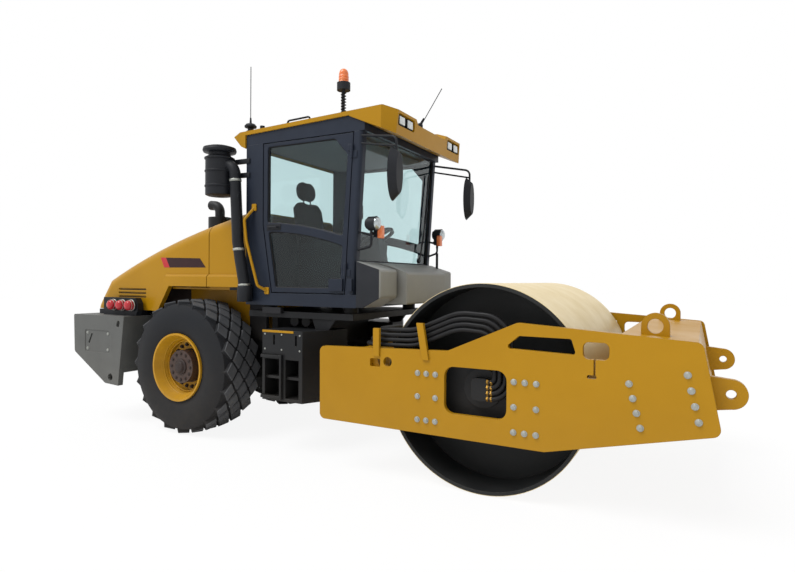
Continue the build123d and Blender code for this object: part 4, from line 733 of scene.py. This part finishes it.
def pane_bead(glass, aim, depth, radius):
    """Rubber bead along the outline of the faces of a glass node that look along aim beyond depth."""
    only(glass)
    bpy.ops.object.duplicate()
    outline = bpy.context.object
    outline.parent = None
    outline.matrix_world = glass.matrix_world
    bpy.ops.object.mode_set(mode="EDIT")
    bpy.ops.mesh.select_mode(type="FACE")
    bpy.ops.mesh.select_all(action="SELECT")
    bpy.ops.mesh.remove_doubles(threshold=0.0002)
    bpy.ops.mesh.select_all(action="DESELECT")
    bpy.ops.object.mode_set(mode="OBJECT")
    for face in outline.data.polygons:
        face.select = face.normal.dot(Vector(aim)) > 0.95 and face.center.dot(Vector(aim)) > depth
    bpy.ops.object.mode_set(mode="EDIT")
    bpy.ops.mesh.select_all(action="INVERT")
    bpy.ops.mesh.delete(type="FACE")
    bpy.ops.mesh.select_all(action="SELECT")
    bpy.ops.mesh.region_to_loop()
    bpy.ops.mesh.duplicate()
    bpy.ops.mesh.separate(type="SELECTED")
    bpy.ops.object.mode_set(mode="OBJECT")
    bead = [piece for piece in bpy.context.selected_objects if piece != outline][0]
    bpy.data.objects.remove(outline, do_unlink=True)
    only(bead)
    bpy.ops.object.convert(target="CURVE")
    bead = bpy.context.object
    bead.data.bevel_depth = radius
    bead.data.bevel_resolution = 2
    bpy.ops.object.convert(target="MESH")
    return bpy.context.object


# Right side is side -1, left side is side 1
HANDS = ((-1, "right"), (1, "left"))
ORIGIN = (0, 0, 0)
UP = (0, 0, 1)
DOWN = (0, 0, -1)
FORWARD = (1, 0, 0)
BACKWARD = (-1, 0, 0)


def on_side(side, spot):
    """The spot, which is given for the left side, on the side asked for."""
    x, y, z = spot
    return (x, side * y, z)


def middle(name):
    """Middle of a CAD node's box."""
    lowest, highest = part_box(name)
    return (Vector(lowest) + Vector(highest)) / 2


# Bolts on the drum yoke's side plates: two blocks of three columns and two slanting rows at the nose
PLATE_FACE = 1.15
PLATE_COLUMNS = ((1.158, 1.233, 1.310), (1.928, 2.008, 2.090))
PLATE_LEVELS = (0.893, 0.712, 0.530)
NOSE_ROWS = (((2.699, 0.952), (2.770, 0.670)), ((3.041, 1.038), (3.106, 0.748)))
NOSE_BOLTS = 4
for side, hand in HANDS:
    spots = []
    for columns in PLATE_COLUMNS:
        for z in PLATE_LEVELS:
            for x in columns:
                if z != PLATE_LEVELS[1] or x != columns[1]:
                    spots.append((x, side * PLATE_FACE, z))
    for (top_x, top_z), (foot_x, foot_z) in NOSE_ROWS:
        spots += evenly((top_x, side * PLATE_FACE, top_z), (foot_x, side * PLATE_FACE, foot_z), NOSE_BOLTS)
    heads = bolts(spots, (0, side, 0), radius=0.018, height=0.015, washer=0.023)
    hand_over(heads, "plate_bolts_" + hand, "front", zinc_plate)

# Wheels: bolts and a grease cap on the hub face, nuts on the dish, rolled steps in the rim
HUB_FACE = 1.0
HUB_CIRCLE = 0.135
HUB_BOLTS = 12
DISH_FACE = 0.88
NUT_CIRCLE = 0.222
WHEEL_NUTS = 18
GREASE_CAP = [
    (0.082, 0),
    (0.082, 0.010),
    (0.076, 0.016),
    (0.060, 0.018),
    (0.056, 0.030),
    (0.048, 0.036),
    (0.010, 0.038),
]
# Radius, distance from the machine's middle and thickness of each step
RIM_STEPS = ((0.345, 1.030, 0.010), (0.318, 1.000, 0.009), (0.292, 0.968, 0.008), (0.262, 0.930, 0.008))
wheel_x, _, wheel_z = WHEEL_AXIS
for side, hand in HANDS:
    body = "wheel_" + hand
    outward = (0, side, 0)
    hub = (wheel_x, side * HUB_FACE, wheel_z)
    hub_ring = ring(hub, outward, HUB_CIRCLE, HUB_BOLTS)
    hub_bolts = bolts(hub_ring, outward, radius=0.013, height=0.012, washer=0.018)
    cap = turned(GREASE_CAP, hub, outward, sides=32)
    hand_over(joined([hub_bolts, cap]), "hub_bolts_" + hand, body, dark_casting)
    dish = (wheel_x, side * DISH_FACE, wheel_z)
    nut_ring = ring(dish, outward, NUT_CIRCLE, WHEEL_NUTS)
    nuts = bolts(nut_ring, outward, radius=0.016, height=0.026, washer=0.021)
    hand_over(nuts, "wheel_nuts_" + hand, body, dark_casting)
    steps = []
    for radius, y, bead in RIM_STEPS:
        steps.append(tube(ring((wheel_x, side * y, wheel_z), outward, radius, 56), bead, closed=True))
    hand_over(joined(steps), "rim_steps_" + hand, body, wheel_enamel)

# Head lamps: clear domed lens in a dark bezel; indicators beside them, square lamps in the roof
HEAD_LAMP = (0.522, 0.72, 2.125)
BEZEL = (0.523, 0.72, 2.125)
BEZEL_R = 0.060
INDICATOR = (0.530, 0.650, 2.053)
INDICATOR_SIZE = (0.042, 0.066, 0.116)
ROOF_LAMP_X = 0.721
ROOF_LAMP_Y = (0.462, 0.618)
ROOF_LAMP_Z = 3.043
ROOF_LENS_SIZE = (0.012, 0.098, 0.070)
LENS_DOME = [(0.058, -0.004), (0.058, 0.010), (0.053, 0.020), (0.038, 0.028), (0.018, 0.032), (0.004, 0.033)]
for side, hand in HANDS:
    lens = turned(LENS_DOME, on_side(side, HEAD_LAMP), FORWARD, sides=32)
    hand_over(lens, "head_lamp_lens_" + hand, "rear", bright_reflector)
    bezel = tube(ring(on_side(side, BEZEL), FORWARD, BEZEL_R, 36), 0.006, closed=True)
    hand_over(bezel, "head_lamp_bezel_" + hand, "rear", grained_plastic)
    amber = block(on_side(side, INDICATOR), INDICATOR_SIZE, 0.008, 3)
    hand_over(amber, "indicator_lens_" + hand, "rear", orange_acrylic)
    lenses = [block((ROOF_LAMP_X, side * y, ROOF_LAMP_Z), ROOF_LENS_SIZE, 0.005, 3) for y in ROOF_LAMP_Y]
    hand_over(joined(lenses), "roof_lamp_lenses_" + hand, "rear", white_acrylic)

# Tail lamps: deep red domes, each in a plated ring with a pale band round the middle
TAIL_LAMP_X = (-2.54, -2.69, -2.84)
TAIL_LAMP_Z = middle("tail_lamps").z
TAIL_LAMP_FACE = 0.919
TAIL_DOME = [
    (0.054, 0),
    (0.056, 0.020),
    (0.055, 0.045),
    (0.048, 0.062),
    (0.034, 0.072),
    (0.015, 0.077),
    (0.003, 0.078),
]
# Distance out from the lamp's face, radius and thickness of each ring
TAIL_RINGS = ((0.004, 0.060, 0.006), (0.033, 0.0558, 0.003))
lamps = []
for side, hand in HANDS:
    outward = (0, side, 0)
    rings = []
    for x in TAIL_LAMP_X:
        lamps.append(turned(TAIL_DOME, (x, side * TAIL_LAMP_FACE, TAIL_LAMP_Z), outward, sides=32))
        for out, radius, wire in TAIL_RINGS:
            band = ring((x, side * (TAIL_LAMP_FACE + out), TAIL_LAMP_Z), outward, radius, 32)
            rings.append(tube(band, wire, closed=True))
    hand_over(joined(rings), "tail_lamp_rings_" + hand, "rear", zinc_plate)
domes = hand_over(joined(lamps), "tail_lamp_domes", "rear", red_acrylic)
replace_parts(domes, "tail_lamps")

# Mirror glass: slightly domed oval on the rear face of each head
MIRROR = (0.762, 0.86, 2.53)
MIRROR_HALF = (0.212, 0.086)
MIRROR_DOME = [(1.0, -0.001), (1.0, 0.002), (0.94, 0.0035), (0.6, 0.005), (0.05, 0.006)]
for side, hand in HANDS:
    glass = turned(MIRROR_DOME, on_side(side, MIRROR), BACKWARD, sides=40, squash=MIRROR_HALF)
    hand_over(glass, "mirror_glass_" + hand, "rear", silvered)

# Rubber beads round the panes
SCREEN_RAKE = 0.06
for side, hand in HANDS:
    bead = pane_bead(nodes["door_glass_" + hand], (0, side, 0), 0.70, 0.010)
    hand_over(bead, "door_glass_bead_" + hand, "door_body_" + hand, hose_rubber)
bead = pane_bead(nodes["cab_glass"], (0.998, 0, -SCREEN_RAKE), 0.1, 0.012)
hand_over(bead, "windscreen_bead", "rear", hose_rubber)

# Wiper on the windscreen: motor boss, arm and blade
SCREEN_FOOT_X = 0.336
SCREEN_FOOT_Z = 1.8


def screen(y, z, off_mm):
    """Spot that stands off the windscreen's outer face."""
    return (SCREEN_FOOT_X + (z - SCREEN_FOOT_Z) * SCREEN_RAKE + off_mm / 1000, y, z)


arm = tube([screen(0.50, 1.83, 18), screen(0.52, 1.95, 26), screen(0.60, 2.42, 24)], 0.008)
blade = tube([screen(0.58, 2.05, 10), screen(0.60, 2.42, 12), screen(0.62, 2.78, 10)], 0.009)
boss_profile = [(0.028, 0), (0.028, 0.02), (0.02, 0.028)]
boss = turned(boss_profile, screen(0.50, 1.83, 0), (1, 0, -SCREEN_RAKE), sides=20)
hand_over(joined([arm, blade, boss]), "windscreen_wiper", "rear", grained_plastic)

# Flash on the hood's flank: dark film with a red tail, its edges given front end first
FLASH_Y = 0.7805
FLASH_TOP = (Vector((-1.619, 1.831)), Vector((-2.229, 1.846)))
FLASH_FOOT = (Vector((-1.533, 1.733)), Vector((-2.174, 1.735)))
FILM_T = 0.0008
TAIL_SHARE = 0.86
FLASH_FILMS = (
    ("flash_film_", 0.0, TAIL_SHARE, maroon_film, "cab_dark"),
    ("flash_tail_", TAIL_SHARE, 1.0, red_film, "lamp_red"),
)
for side, hand in HANDS:
    for label, first, last, film, slot in FLASH_FILMS:
        shares = (first, last) if side > 0 else (last, first)
        spots = [edge[0].lerp(edge[1], share) for edge in (FLASH_FOOT, FLASH_TOP) for share in shares]
        bpy.ops.object.select_all(action="DESELECT")
        bpy.ops.mesh.primitive_plane_add(size=1)
        sticker = bpy.context.object
        for vertex, spot in zip(sticker.data.vertices, spots):
            vertex.co = (spot.x, side * FLASH_Y, spot.y)
        thicken(sticker, (0, side * FILM_T, 0))
        hand_over(sticker, label + hand, "hood_body", film)

# Strips: red reflectors on the hood's rear corners, yellow edge on the step tank
REFLECTOR = (-2.98, 0.7815, 1.30)
REFLECTOR_SIZE = (0.30, 0.003, 0.045)
TANK_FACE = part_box("step_tanks")[1][1]
TANK_EDGE = (-0.375, TANK_FACE + 0.002, 1.128)
TANK_EDGE_SIZE = (0.37, 0.006, 0.022)
for side, hand in HANDS:
    strip = block(on_side(side, REFLECTOR), REFLECTOR_SIZE, 0.001, 1)
    hand_over(strip, "reflector_strip_" + hand, "hood_body", red_film)
    edge = block(on_side(side, TANK_EDGE), TANK_EDGE_SIZE, 0.002, 1)
    hand_over(edge, "tank_edge_strip_" + hand, "rear", yellow_enamel)

# Beacon: ribbed amber dome on its cup, coil round the stem
BEACON_X, BEACON_Y, _ = middle("beacon_lens")
BEACON_DOME = [
    (0.047, 3.436),
    (0.047, 3.450),
    (0.044, 3.454),
    (0.047, 3.458),
    (0.047, 3.476),
    (0.044, 3.480),
    (0.047, 3.484),
    (0.046, 3.502),
    (0.043, 3.506),
    (0.045, 3.510),
    (0.043, 3.530),
    (0.034, 3.552),
    (0.018, 3.564),
    (0.003, 3.568),
]
COIL_R = 0.020
COIL_FOOT = 3.15
COIL_RISE = 0.0017
COIL_STEPS = 120
STEPS_PER_TURN = 16
dome = turned(BEACON_DOME, (BEACON_X, BEACON_Y, 0), UP, sides=36)
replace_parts(hand_over(dome, "beacon_dome", "rear", orange_acrylic), "beacon_lens")
coil = []
for step in range(COIL_STEPS + 1):
    angle = step * math.tau / STEPS_PER_TURN
    x = BEACON_X + COIL_R * math.cos(angle)
    y = BEACON_Y + COIL_R * math.sin(angle)
    coil.append((x, y, COIL_FOOT + step * COIL_RISE))
hand_over(tube(coil, 0.006, sides=2), "beacon_coil", "rear", hose_rubber)

# Air cleaner: banded canister with a mushroom cap, brackets to the cab and the pipe down to the engine
PIPE_Y = -0.88
PIPE_R = 0.056
CANISTER_X = -1.237
CANISTER = [
    (0.118, 2.455),
    (0.140, 2.465),
    (0.140, 2.540),
    (0.147, 2.545),
    (0.147, 2.560),
    (0.140, 2.565),
    (0.140, 2.690),
    (0.147, 2.695),
    (0.147, 2.710),
    (0.140, 2.715),
    (0.140, 2.820),
    (0.150, 2.825),
    (0.150, 2.840),
    (0.132, 2.850),
    (0.110, 2.862),
    (0.110, 2.888),
    (0.160, 2.896),
    (0.168, 2.915),
    (0.160, 2.942),
    (0.110, 2.958),
    (0.030, 2.962),
]
BRACKET_Y = -0.80
BRACKET_LEVELS = (2.80, 2.66)
BRACKET_BAR = (0.30, 0.03, 0.05)
BRACKET_POST = (0.04, 0.05, 0.26)
ELBOW_R = 0.115
ELBOW_X = -1.14
ELBOW_Z = 2.65
ELBOW_STEPS = 8
PIPE_RUN = ((-0.985, 1.99), (-0.955, 1.83), (-0.905, 1.60), (-0.89, 1.42))
BOOT_X = -0.891
BOOT = [(0.070, 1.392), (0.074, 1.40), (0.074, 1.53), (0.066, 1.548), (0.05, 1.55)]
CLAMP = [(0.058, -0.012), (0.061, -0.008), (0.061, 0.008), (0.058, 0.012)]
CLAMP_SPOTS = ((-1.021, 2.60), (-0.970, 1.91), (-0.897, 1.555))
canister = turned(CANISTER, (CANISTER_X, PIPE_Y, 0), UP, sides=40)
brackets = [block((-1.05, BRACKET_Y, z), BRACKET_BAR, 0.006) for z in BRACKET_LEVELS]
brackets.append(block((-1.19, BRACKET_Y, 2.73), BRACKET_POST, 0.006))
path = [(-1.20, PIPE_Y, ELBOW_Z + ELBOW_R)]
for step in range(ELBOW_STEPS + 1):
    angle = math.radians(90 * step / ELBOW_STEPS)
    path.append((ELBOW_X + ELBOW_R * math.sin(angle), PIPE_Y, ELBOW_Z + ELBOW_R * math.cos(angle)))
path += [(x, PIPE_Y, z) for x, z in PIPE_RUN]
pipe = tube(path, PIPE_R, sides=6)
boot = turned(BOOT, (BOOT_X, PIPE_Y, 0), UP, sides=32)
cleaner = joined([canister, pipe, boot] + brackets)
hand_over(cleaner, "air_cleaner_dressed", "rear", grained_plastic)
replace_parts(cleaner, "air_cleaner")
clamps = [turned(CLAMP, (x, PIPE_Y, z), (-0.06, 0, 1), sides=28) for x, z in CLAMP_SPOTS]
hand_over(joined(clamps), "air_pipe_clamps", "rear", zinc_plate)

# Steps on the tanks: two grip treads with a cheek, and the bolts of the tank lids
TREAD_Y = TANK_FACE + 0.013
TREAD_X = -0.445
TREAD_LEVELS = (0.895, 0.515)
TREAD_SIZE = (0.23, 0.034, 0.028)
GRIP_SIZE = (0.010, 0.028, 0.008)
GRIP_COUNT = 9
GRIP_PITCH = 0.025
CHEEK = (-0.325, TREAD_Y - 0.001, 0.705)
CHEEK_SIZE = (0.022, 0.032, 0.42)
LID_X = (-0.53, -0.33, -0.12)
LID_Z = (1.10, 0.96)
for side, hand in HANDS:
    treads = []
    for z in TREAD_LEVELS:
        treads.append(block((TREAD_X, side * TREAD_Y, z), TREAD_SIZE, 0.005))
        for step in range(GRIP_COUNT):
            spot = (TREAD_X - 0.100 + GRIP_PITCH * step, side * TREAD_Y, z + 0.016)
            treads.append(block(spot, GRIP_SIZE, 0.002, 1))
    treads.append(block(on_side(side, CHEEK), CHEEK_SIZE, 0.004))
    hand_over(joined(treads), "tank_steps_" + hand, "rear", chassis_black)
    lids = [(x, side * TANK_FACE, z) for x in LID_X for z in LID_Z]
    heads = bolts(lids, (0, side, 0), radius=0.006, height=0.006, washer=0.009)
    hand_over(heads, "tank_bolts_" + hand, "rear", zinc_plate)

# Louvre blades in the hood's flank with a dark sheet behind them as painted shade inside the hood, and a mesh
# behind the rear openings
LOUVRE_X = -2.71
LOUVRE_LEVELS = (1.407, 1.449, 1.491)
BLADE_Y = 0.772
BLADE_SIZE = (0.47, 0.020, 0.004)
LOUVRE_SHADE_SHEET = (LOUVRE_X, 0.757, 1.445)
LOUVRE_SHADE_SHEET_SIZE = (0.52, 0.003, 0.14)
LOW_MESH_SIZE = (0.004, 1.14, 0.11)
HIGH_MESH_SIZE = (0.004, 1.14, 0.19)
MESH_LEAN = 36.2
for side, hand in HANDS:
    blades = []
    for z in LOUVRE_LEVELS:
        blades.append(block((LOUVRE_X, side * BLADE_Y, z), BLADE_SIZE, 0.001, 1))
    hand_over(joined(blades), "louvre_blades_" + hand, "hood_body", yellow_enamel)
    # Dark sheet behind the louvres: painted shade inside the hood
    panel = block(on_side(side, LOUVRE_SHADE_SHEET), LOUVRE_SHADE_SHEET_SIZE, 0.001, 1)
    hand_over(panel, "louvre_shade_sheet_" + hand, "hood_body", fender_enamel_and_painted_shade)
low_mesh = block((-3.272, 0, 1.325), LOW_MESH_SIZE, 0.001, 1)
high_mesh = tilted(block(ORIGIN, HIGH_MESH_SIZE, 0.001, 1), (-3.222, 0, 1.446), MESH_LEAN)
hand_over(joined([low_mesh, high_mesh]), "rear_grille_mesh", "hood_body", grained_plastic)

# Counterweight: bolts of the service panel
PANEL_FACE = 1.044
PANEL_X = (-3.128, -2.768)
PANEL_Z = (0.805, 0.985)
for side, hand in HANDS:
    spots = [(x, side * PANEL_FACE, z) for x in PANEL_X for z in PANEL_Z]
    heads = bolts(spots, (0, side, 0), radius=0.012, height=0.010, washer=0.017)
    hand_over(heads, "weight_panel_bolts_" + hand, "rear", zinc_plate)

# Drive fittings behind the window of each side plate
FITTING_X = 1.70
FITTING_Y = 1.0875
FITTING_LEVELS = (0.863, 0.821, 0.779, 0.737)
FITTING = [
    (0.016, 0),
    (0.020, 0.004),
    (0.020, 0.018),
    (0.017, 0.022),
    (0.017, 0.030),
    (0.021, 0.034),
    (0.021, 0.046),
    (0.018, 0.050),
]
for side, hand in HANDS:
    fittings = [turned(FITTING, (FITTING_X, side * FITTING_Y, z), FORWARD, sides=6) for z in FITTING_LEVELS]
    hand_over(joined(fittings), "hose_fittings_" + hand, "front", drawn_brass)

# Aerial feet on the roof
REAR_FOOT = [
    (0.030, 0),
    (0.030, 0.030),
    (0.060, 0.040),
    (0.062, 0.055),
    (0.045, 0.075),
    (0.012, 0.085),
    (0.008, 0.140),
]
FRONT_FOOT = [(0.026, 0), (0.026, 0.012), (0.014, 0.02), (0.010, 0.08)]
rear_foot = turned(REAR_FOOT, (-1.0, -0.69, 3.128), UP, sides=28)
front_foot = turned(FRONT_FOOT, (0.597, 0, 3.165), (0.56, 0, 0.83), sides=24)
hand_over(joined([rear_foot, front_foot]), "aerial_feet", "rear", grained_plastic)

# Seat: sprung base, stuffed cushion, back and headrest with sewn seams
SKIN_VOXEL = 0.006
FILLING_PRESSURE = 4
FILLING_FRAMES = 20
BACK_LEAN = 9
SEAM_Y = (-0.135, 0.135)
SEAM_PITCH = 0.02
BASE_X = -0.40
BELLOWS_FOLDS = 5
FOLD_PITCH = 0.045
FOLD_SIZE = (0.38, 0.34, 0.042)
BACK_SHELL_SIZE = (0.02, 0.36, 0.50)
HEADREST_ROD_Y = (-0.06, 0.06)


def stuffed(size, corner, centre, lean, swell):
    """Pad with round corners whose cover is blown out by its filling, set at a centre and leant."""
    length, width, depth = size
    bpy.ops.object.select_all(action="DESELECT")
    bpy.ops.mesh.primitive_plane_add(size=1, location=(0, 0, -depth / 2))
    pad = bpy.context.object
    pad.scale = (length, width, 1)
    bpy.ops.object.transform_apply(location=True, rotation=True, scale=True)
    bpy.ops.object.mode_set(mode="EDIT")
    bpy.ops.mesh.select_all(action="SELECT")
    bpy.ops.mesh.bevel(offset=corner, segments=8, affect="VERTICES")
    bpy.ops.object.mode_set(mode="OBJECT")
    thicken(pad, (0, 0, depth))
    modify(pad, "BEVEL", width=depth * 0.36, segments=3)
    modify(pad, "REMESH", mode="VOXEL", voxel_size=SKIN_VOXEL)
    starts = [vertex.co.copy() for vertex in pad.data.vertices]
    filling = pad.modifiers.new("filling", "CLOTH")
    filling.settings.use_pressure = True
    filling.settings.uniform_pressure_force = FILLING_PRESSURE
    filling.settings.effector_weights.gravity = 0
    filling.settings.quality = 3
    for step in range(1, FILLING_FRAMES + 1):
        bpy.context.scene.frame_set(step)
    bpy.ops.object.modifier_apply(modifier="filling")
    bpy.context.scene.frame_set(1)
    for vertex, start in zip(pad.data.vertices, starts):
        moved = vertex.co - start
        if moved.length > swell:
            vertex.co = start + moved.normalized() * swell
    modify(pad, "SUBSURF", levels=1)
    return tilted(pad, centre, lean)


def seam(pad, starts, aim):
    """Sewn seam: a fine cord laid on the pad where rays from the starts meet it."""
    spots = []
    for start in starts:
        hit, spot = pad.ray_cast(Vector(start), Vector(aim))[:2]
        if hit:
            spots.append(spot)
    return tube(spots, 0.0035, sides=1)


cushion = stuffed(
    size=(0.48, 0.47, 0.10),
    corner=0.07,
    centre=(-0.45, 0, 1.835),
    lean=-3,
    swell=0.022,
)
back = stuffed(
    size=(0.60, 0.47, 0.085),
    corner=0.12,
    centre=(-0.755, 0, 2.175),
    lean=90 - BACK_LEAN,
    swell=0.024,
)
headrest = stuffed(
    size=(0.21, 0.29, 0.08),
    corner=0.095,
    centre=(-0.815, 0, 2.59),
    lean=83,
    swell=0.022,
)
cords = []
for y in SEAM_Y:
    cords.append(seam(cushion, [(-0.66 + SEAM_PITCH * step, y, 2.1) for step in range(22)], DOWN))
    cords.append(seam(back, [(-0.3, y, 1.91 + SEAM_PITCH * step) for step in range(26)], BACKWARD))
cords.append(seam(cushion, [(-0.33, -0.2 + SEAM_PITCH * step, 2.1) for step in range(21)], DOWN))
cords.append(seam(headrest, [(-0.5, -0.12 + 0.012 * step, 2.59) for step in range(21)], BACKWARD))
for name, pad in (("seat_cushion", cushion), ("seat_back", back), ("seat_headrest", headrest)):
    hand_over(pad, name, "rear", seat_weave, 60)
    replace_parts(pad, "seat")
hand_over(joined(cords), "seat_seams", "rear", hose_rubber, 60)
base = [
    block((BASE_X, 0, 1.50), (0.44, 0.40, 0.04), 0.008),
    block((-0.44, 0, 1.765), (0.46, 0.42, 0.03), 0.008),
]
for step in range(BELLOWS_FOLDS):
    base.append(block((BASE_X, 0, 1.54 + FOLD_PITCH * step), FOLD_SIZE, 0.016))
base.append(tilted(block(ORIGIN, BACK_SHELL_SIZE, 0.008), (-0.805, 0, 2.16), -BACK_LEAN))
for y in HEADREST_ROD_Y:
    base.append(tube([(-0.79, y, 2.40), (-0.81, y, 2.56)], 0.008))
seat_frame = hand_over(joined(base), "seat_base", "rear", grained_plastic)
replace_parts(seat_frame, "seat")

# Cab trim: headliner, joysticks on the consoles, display on a stalk, pedals
JOYSTICK = [
    (0.045, 0),
    (0.042, 0.012),
    (0.030, 0.030),
    (0.012, 0.050),
    (0.010, 0.100),
    (0.022, 0.115),
    (0.026, 0.150),
    (0.020, 0.175),
    (0.006, 0.180),
]
JOYSTICK_FOOT = (-0.10, 0.375, 2.045)
DISPLAY_STALK = [(-0.03, -0.42, 2.03), (0.06, -0.42, 2.16), (0.08, -0.40, 2.24)]
DISPLAY_SIZE = (0.035, 0.20, 0.14)
PEDAL_Y = (-0.14, 0.14)
PEDAL_SIZE = (0.12, 0.08, 0.012)
PEDAL_LEAN = -40
lining = block((-0.28, 0, 2.938), (1.14, 1.40, 0.018), 0.006)
hand_over(lining, "cab_headliner", "rear", headliner_felt)
controls = []
for side, _ in HANDS:
    controls.append(turned(JOYSTICK, on_side(side, JOYSTICK_FOOT), (0.08, 0, 1), sides=24))
controls.append(tube(DISPLAY_STALK, 0.012))
controls.append(block((0.095, -0.38, 2.29), DISPLAY_SIZE, 0.010))
for y in PEDAL_Y:
    controls.append(tilted(block(ORIGIN, PEDAL_SIZE, 0.004), (0.10, y, 1.56), PEDAL_LEAN))
hand_over(joined(controls), "cab_controls_trim", "rear", grained_plastic)

# Door handles on the rail between the panes
HANDLE_Z = 2.122
HANDLE_Y = 0.802
GRIP_OUT = 0.026
GRIP_RUN = ((-0.65, 0), (-0.64, GRIP_OUT), (-0.54, GRIP_OUT), (-0.53, 0))
for side, hand in HANDS:
    plate = block((-0.59, side * HANDLE_Y, HANDLE_Z), (0.17, 0.006, 0.058), 0.002)
    grip = tube([(x, side * (HANDLE_Y + out), HANDLE_Z) for x, out in GRIP_RUN], 0.010)
    handle = joined([plate, grip])
    hand_over(handle, "door_handle_" + hand, "door_body_" + hand, grained_plastic)

# Engine under the hood: ribbed rocker cover and fan cowl, manifold and filters on the block
COVER_Y = 0.02
RIB_COUNT = 6
RIB_PITCH = 0.112
RIB_SIZE = (0.05, 0.16, 0.016)
FILTER = [(0.045, 0), (0.048, 0.01), (0.048, 0.12), (0.040, 0.14), (0.01, 0.142)]
FILTER_COUNT = 3
FILTER_PITCH = 0.16
rocker = [block((-2.22, COVER_Y, 1.665), (0.72, 0.20, 0.09), 0.02, 3)]
for step in range(RIB_COUNT):
    rocker.append(block((-2.50 + RIB_PITCH * step, COVER_Y, 1.712), RIB_SIZE, 0.005))
rocker.append(block((-2.74, 0, 1.52), (0.10, 0.62, 0.20), 0.02))
hand_over(joined(rocker), "engine_rocker_cover", "rear", chassis_black)
pipes = [tube([(-2.58 + 0.02 * step, 0.22, 1.665) for step in range(36)], 0.036, sides=4)]
for step in range(FILTER_COUNT):
    pipes.append(turned(FILTER, (-2.45 + FILTER_PITCH * step, -0.24, 1.62), UP, sides=24))
hand_over(joined(pipes), "engine_pipes", "rear", zinc_plate)

# Floor, light and white surroundings
FLOOR_SIZE = 80
FLOOR_GLOW = 0.9
SUN_TURN = (30, -16, -8)
SUN_STRENGTH = 2.4
SUN_SPREAD = 35
SKY_ON_OBJECT = 0.55
bpy.ops.object.select_all(action="DESELECT")
bpy.ops.mesh.primitive_plane_add(size=FLOOR_SIZE, location=(0, 0, -0.002))
floor = bpy.context.object
floor.name = "studio_floor"
floor_white = bpy.data.materials.new("matt_white_floor_paint")
floor_white.use_nodes = True
tree = floor_white.node_tree
shader = tree.nodes["Principled BSDF"]
shader.inputs["Base Color"].default_value = linear("F6F6F6")
shader.inputs["Roughness"].default_value = 0.9
glow = node(tree, "ShaderNodeEmission", values={"Color": (1, 1, 1, 1), "Strength": 1.0})
rays = node(tree, "ShaderNodeLightPath")
share = node(
    tree,
    "ShaderNodeMath",
    settings={"operation": "MULTIPLY"},
    values={1: FLOOR_GLOW},
    links={0: rays.outputs["Is Camera Ray"]},
)
lit = node(
    tree,
    "ShaderNodeMixShader",
    links={0: share.outputs[0], 1: shader.outputs[0], 2: glow.outputs[0]},
)
tree.links.new(lit.outputs[0], tree.nodes["Material Output"].inputs["Surface"])
floor.data.materials.append(floor_white)

bpy.ops.object.light_add(type="SUN", rotation=[math.radians(angle) for angle in SUN_TURN])
sun = bpy.context.object
sun.data.energy = SUN_STRENGTH
sun.data.angle = math.radians(SUN_SPREAD)

world = bpy.data.worlds.new("white_studio")
bpy.context.scene.world = world
world.use_nodes = True
tree = world.node_tree
rays = node(tree, "ShaderNodeLightPath")
seen = node(
    tree,
    "ShaderNodeMath",
    settings={"operation": "ADD"},
    links={0: rays.outputs["Is Camera Ray"], 1: rays.outputs["Is Transmission Ray"]},
)
mirrored = node(
    tree,
    "ShaderNodeMath",
    settings={"operation": "ADD", "use_clamp": True},
    links={0: seen.outputs[0], 1: rays.outputs["Is Glossy Ray"]},
)
strength = node(
    tree,
    "ShaderNodeMapRange",
    values={"To Min": SKY_ON_OBJECT, "To Max": 1.0},
    links={"Value": mirrored.outputs[0]},
)
tree.nodes["Background"].inputs["Color"].default_value = (1, 1, 1, 1)
tree.links.new(strength.outputs["Result"], tree.nodes["Background"].inputs["Strength"])
bpy.context.scene.view_settings.view_transform = "Standard"
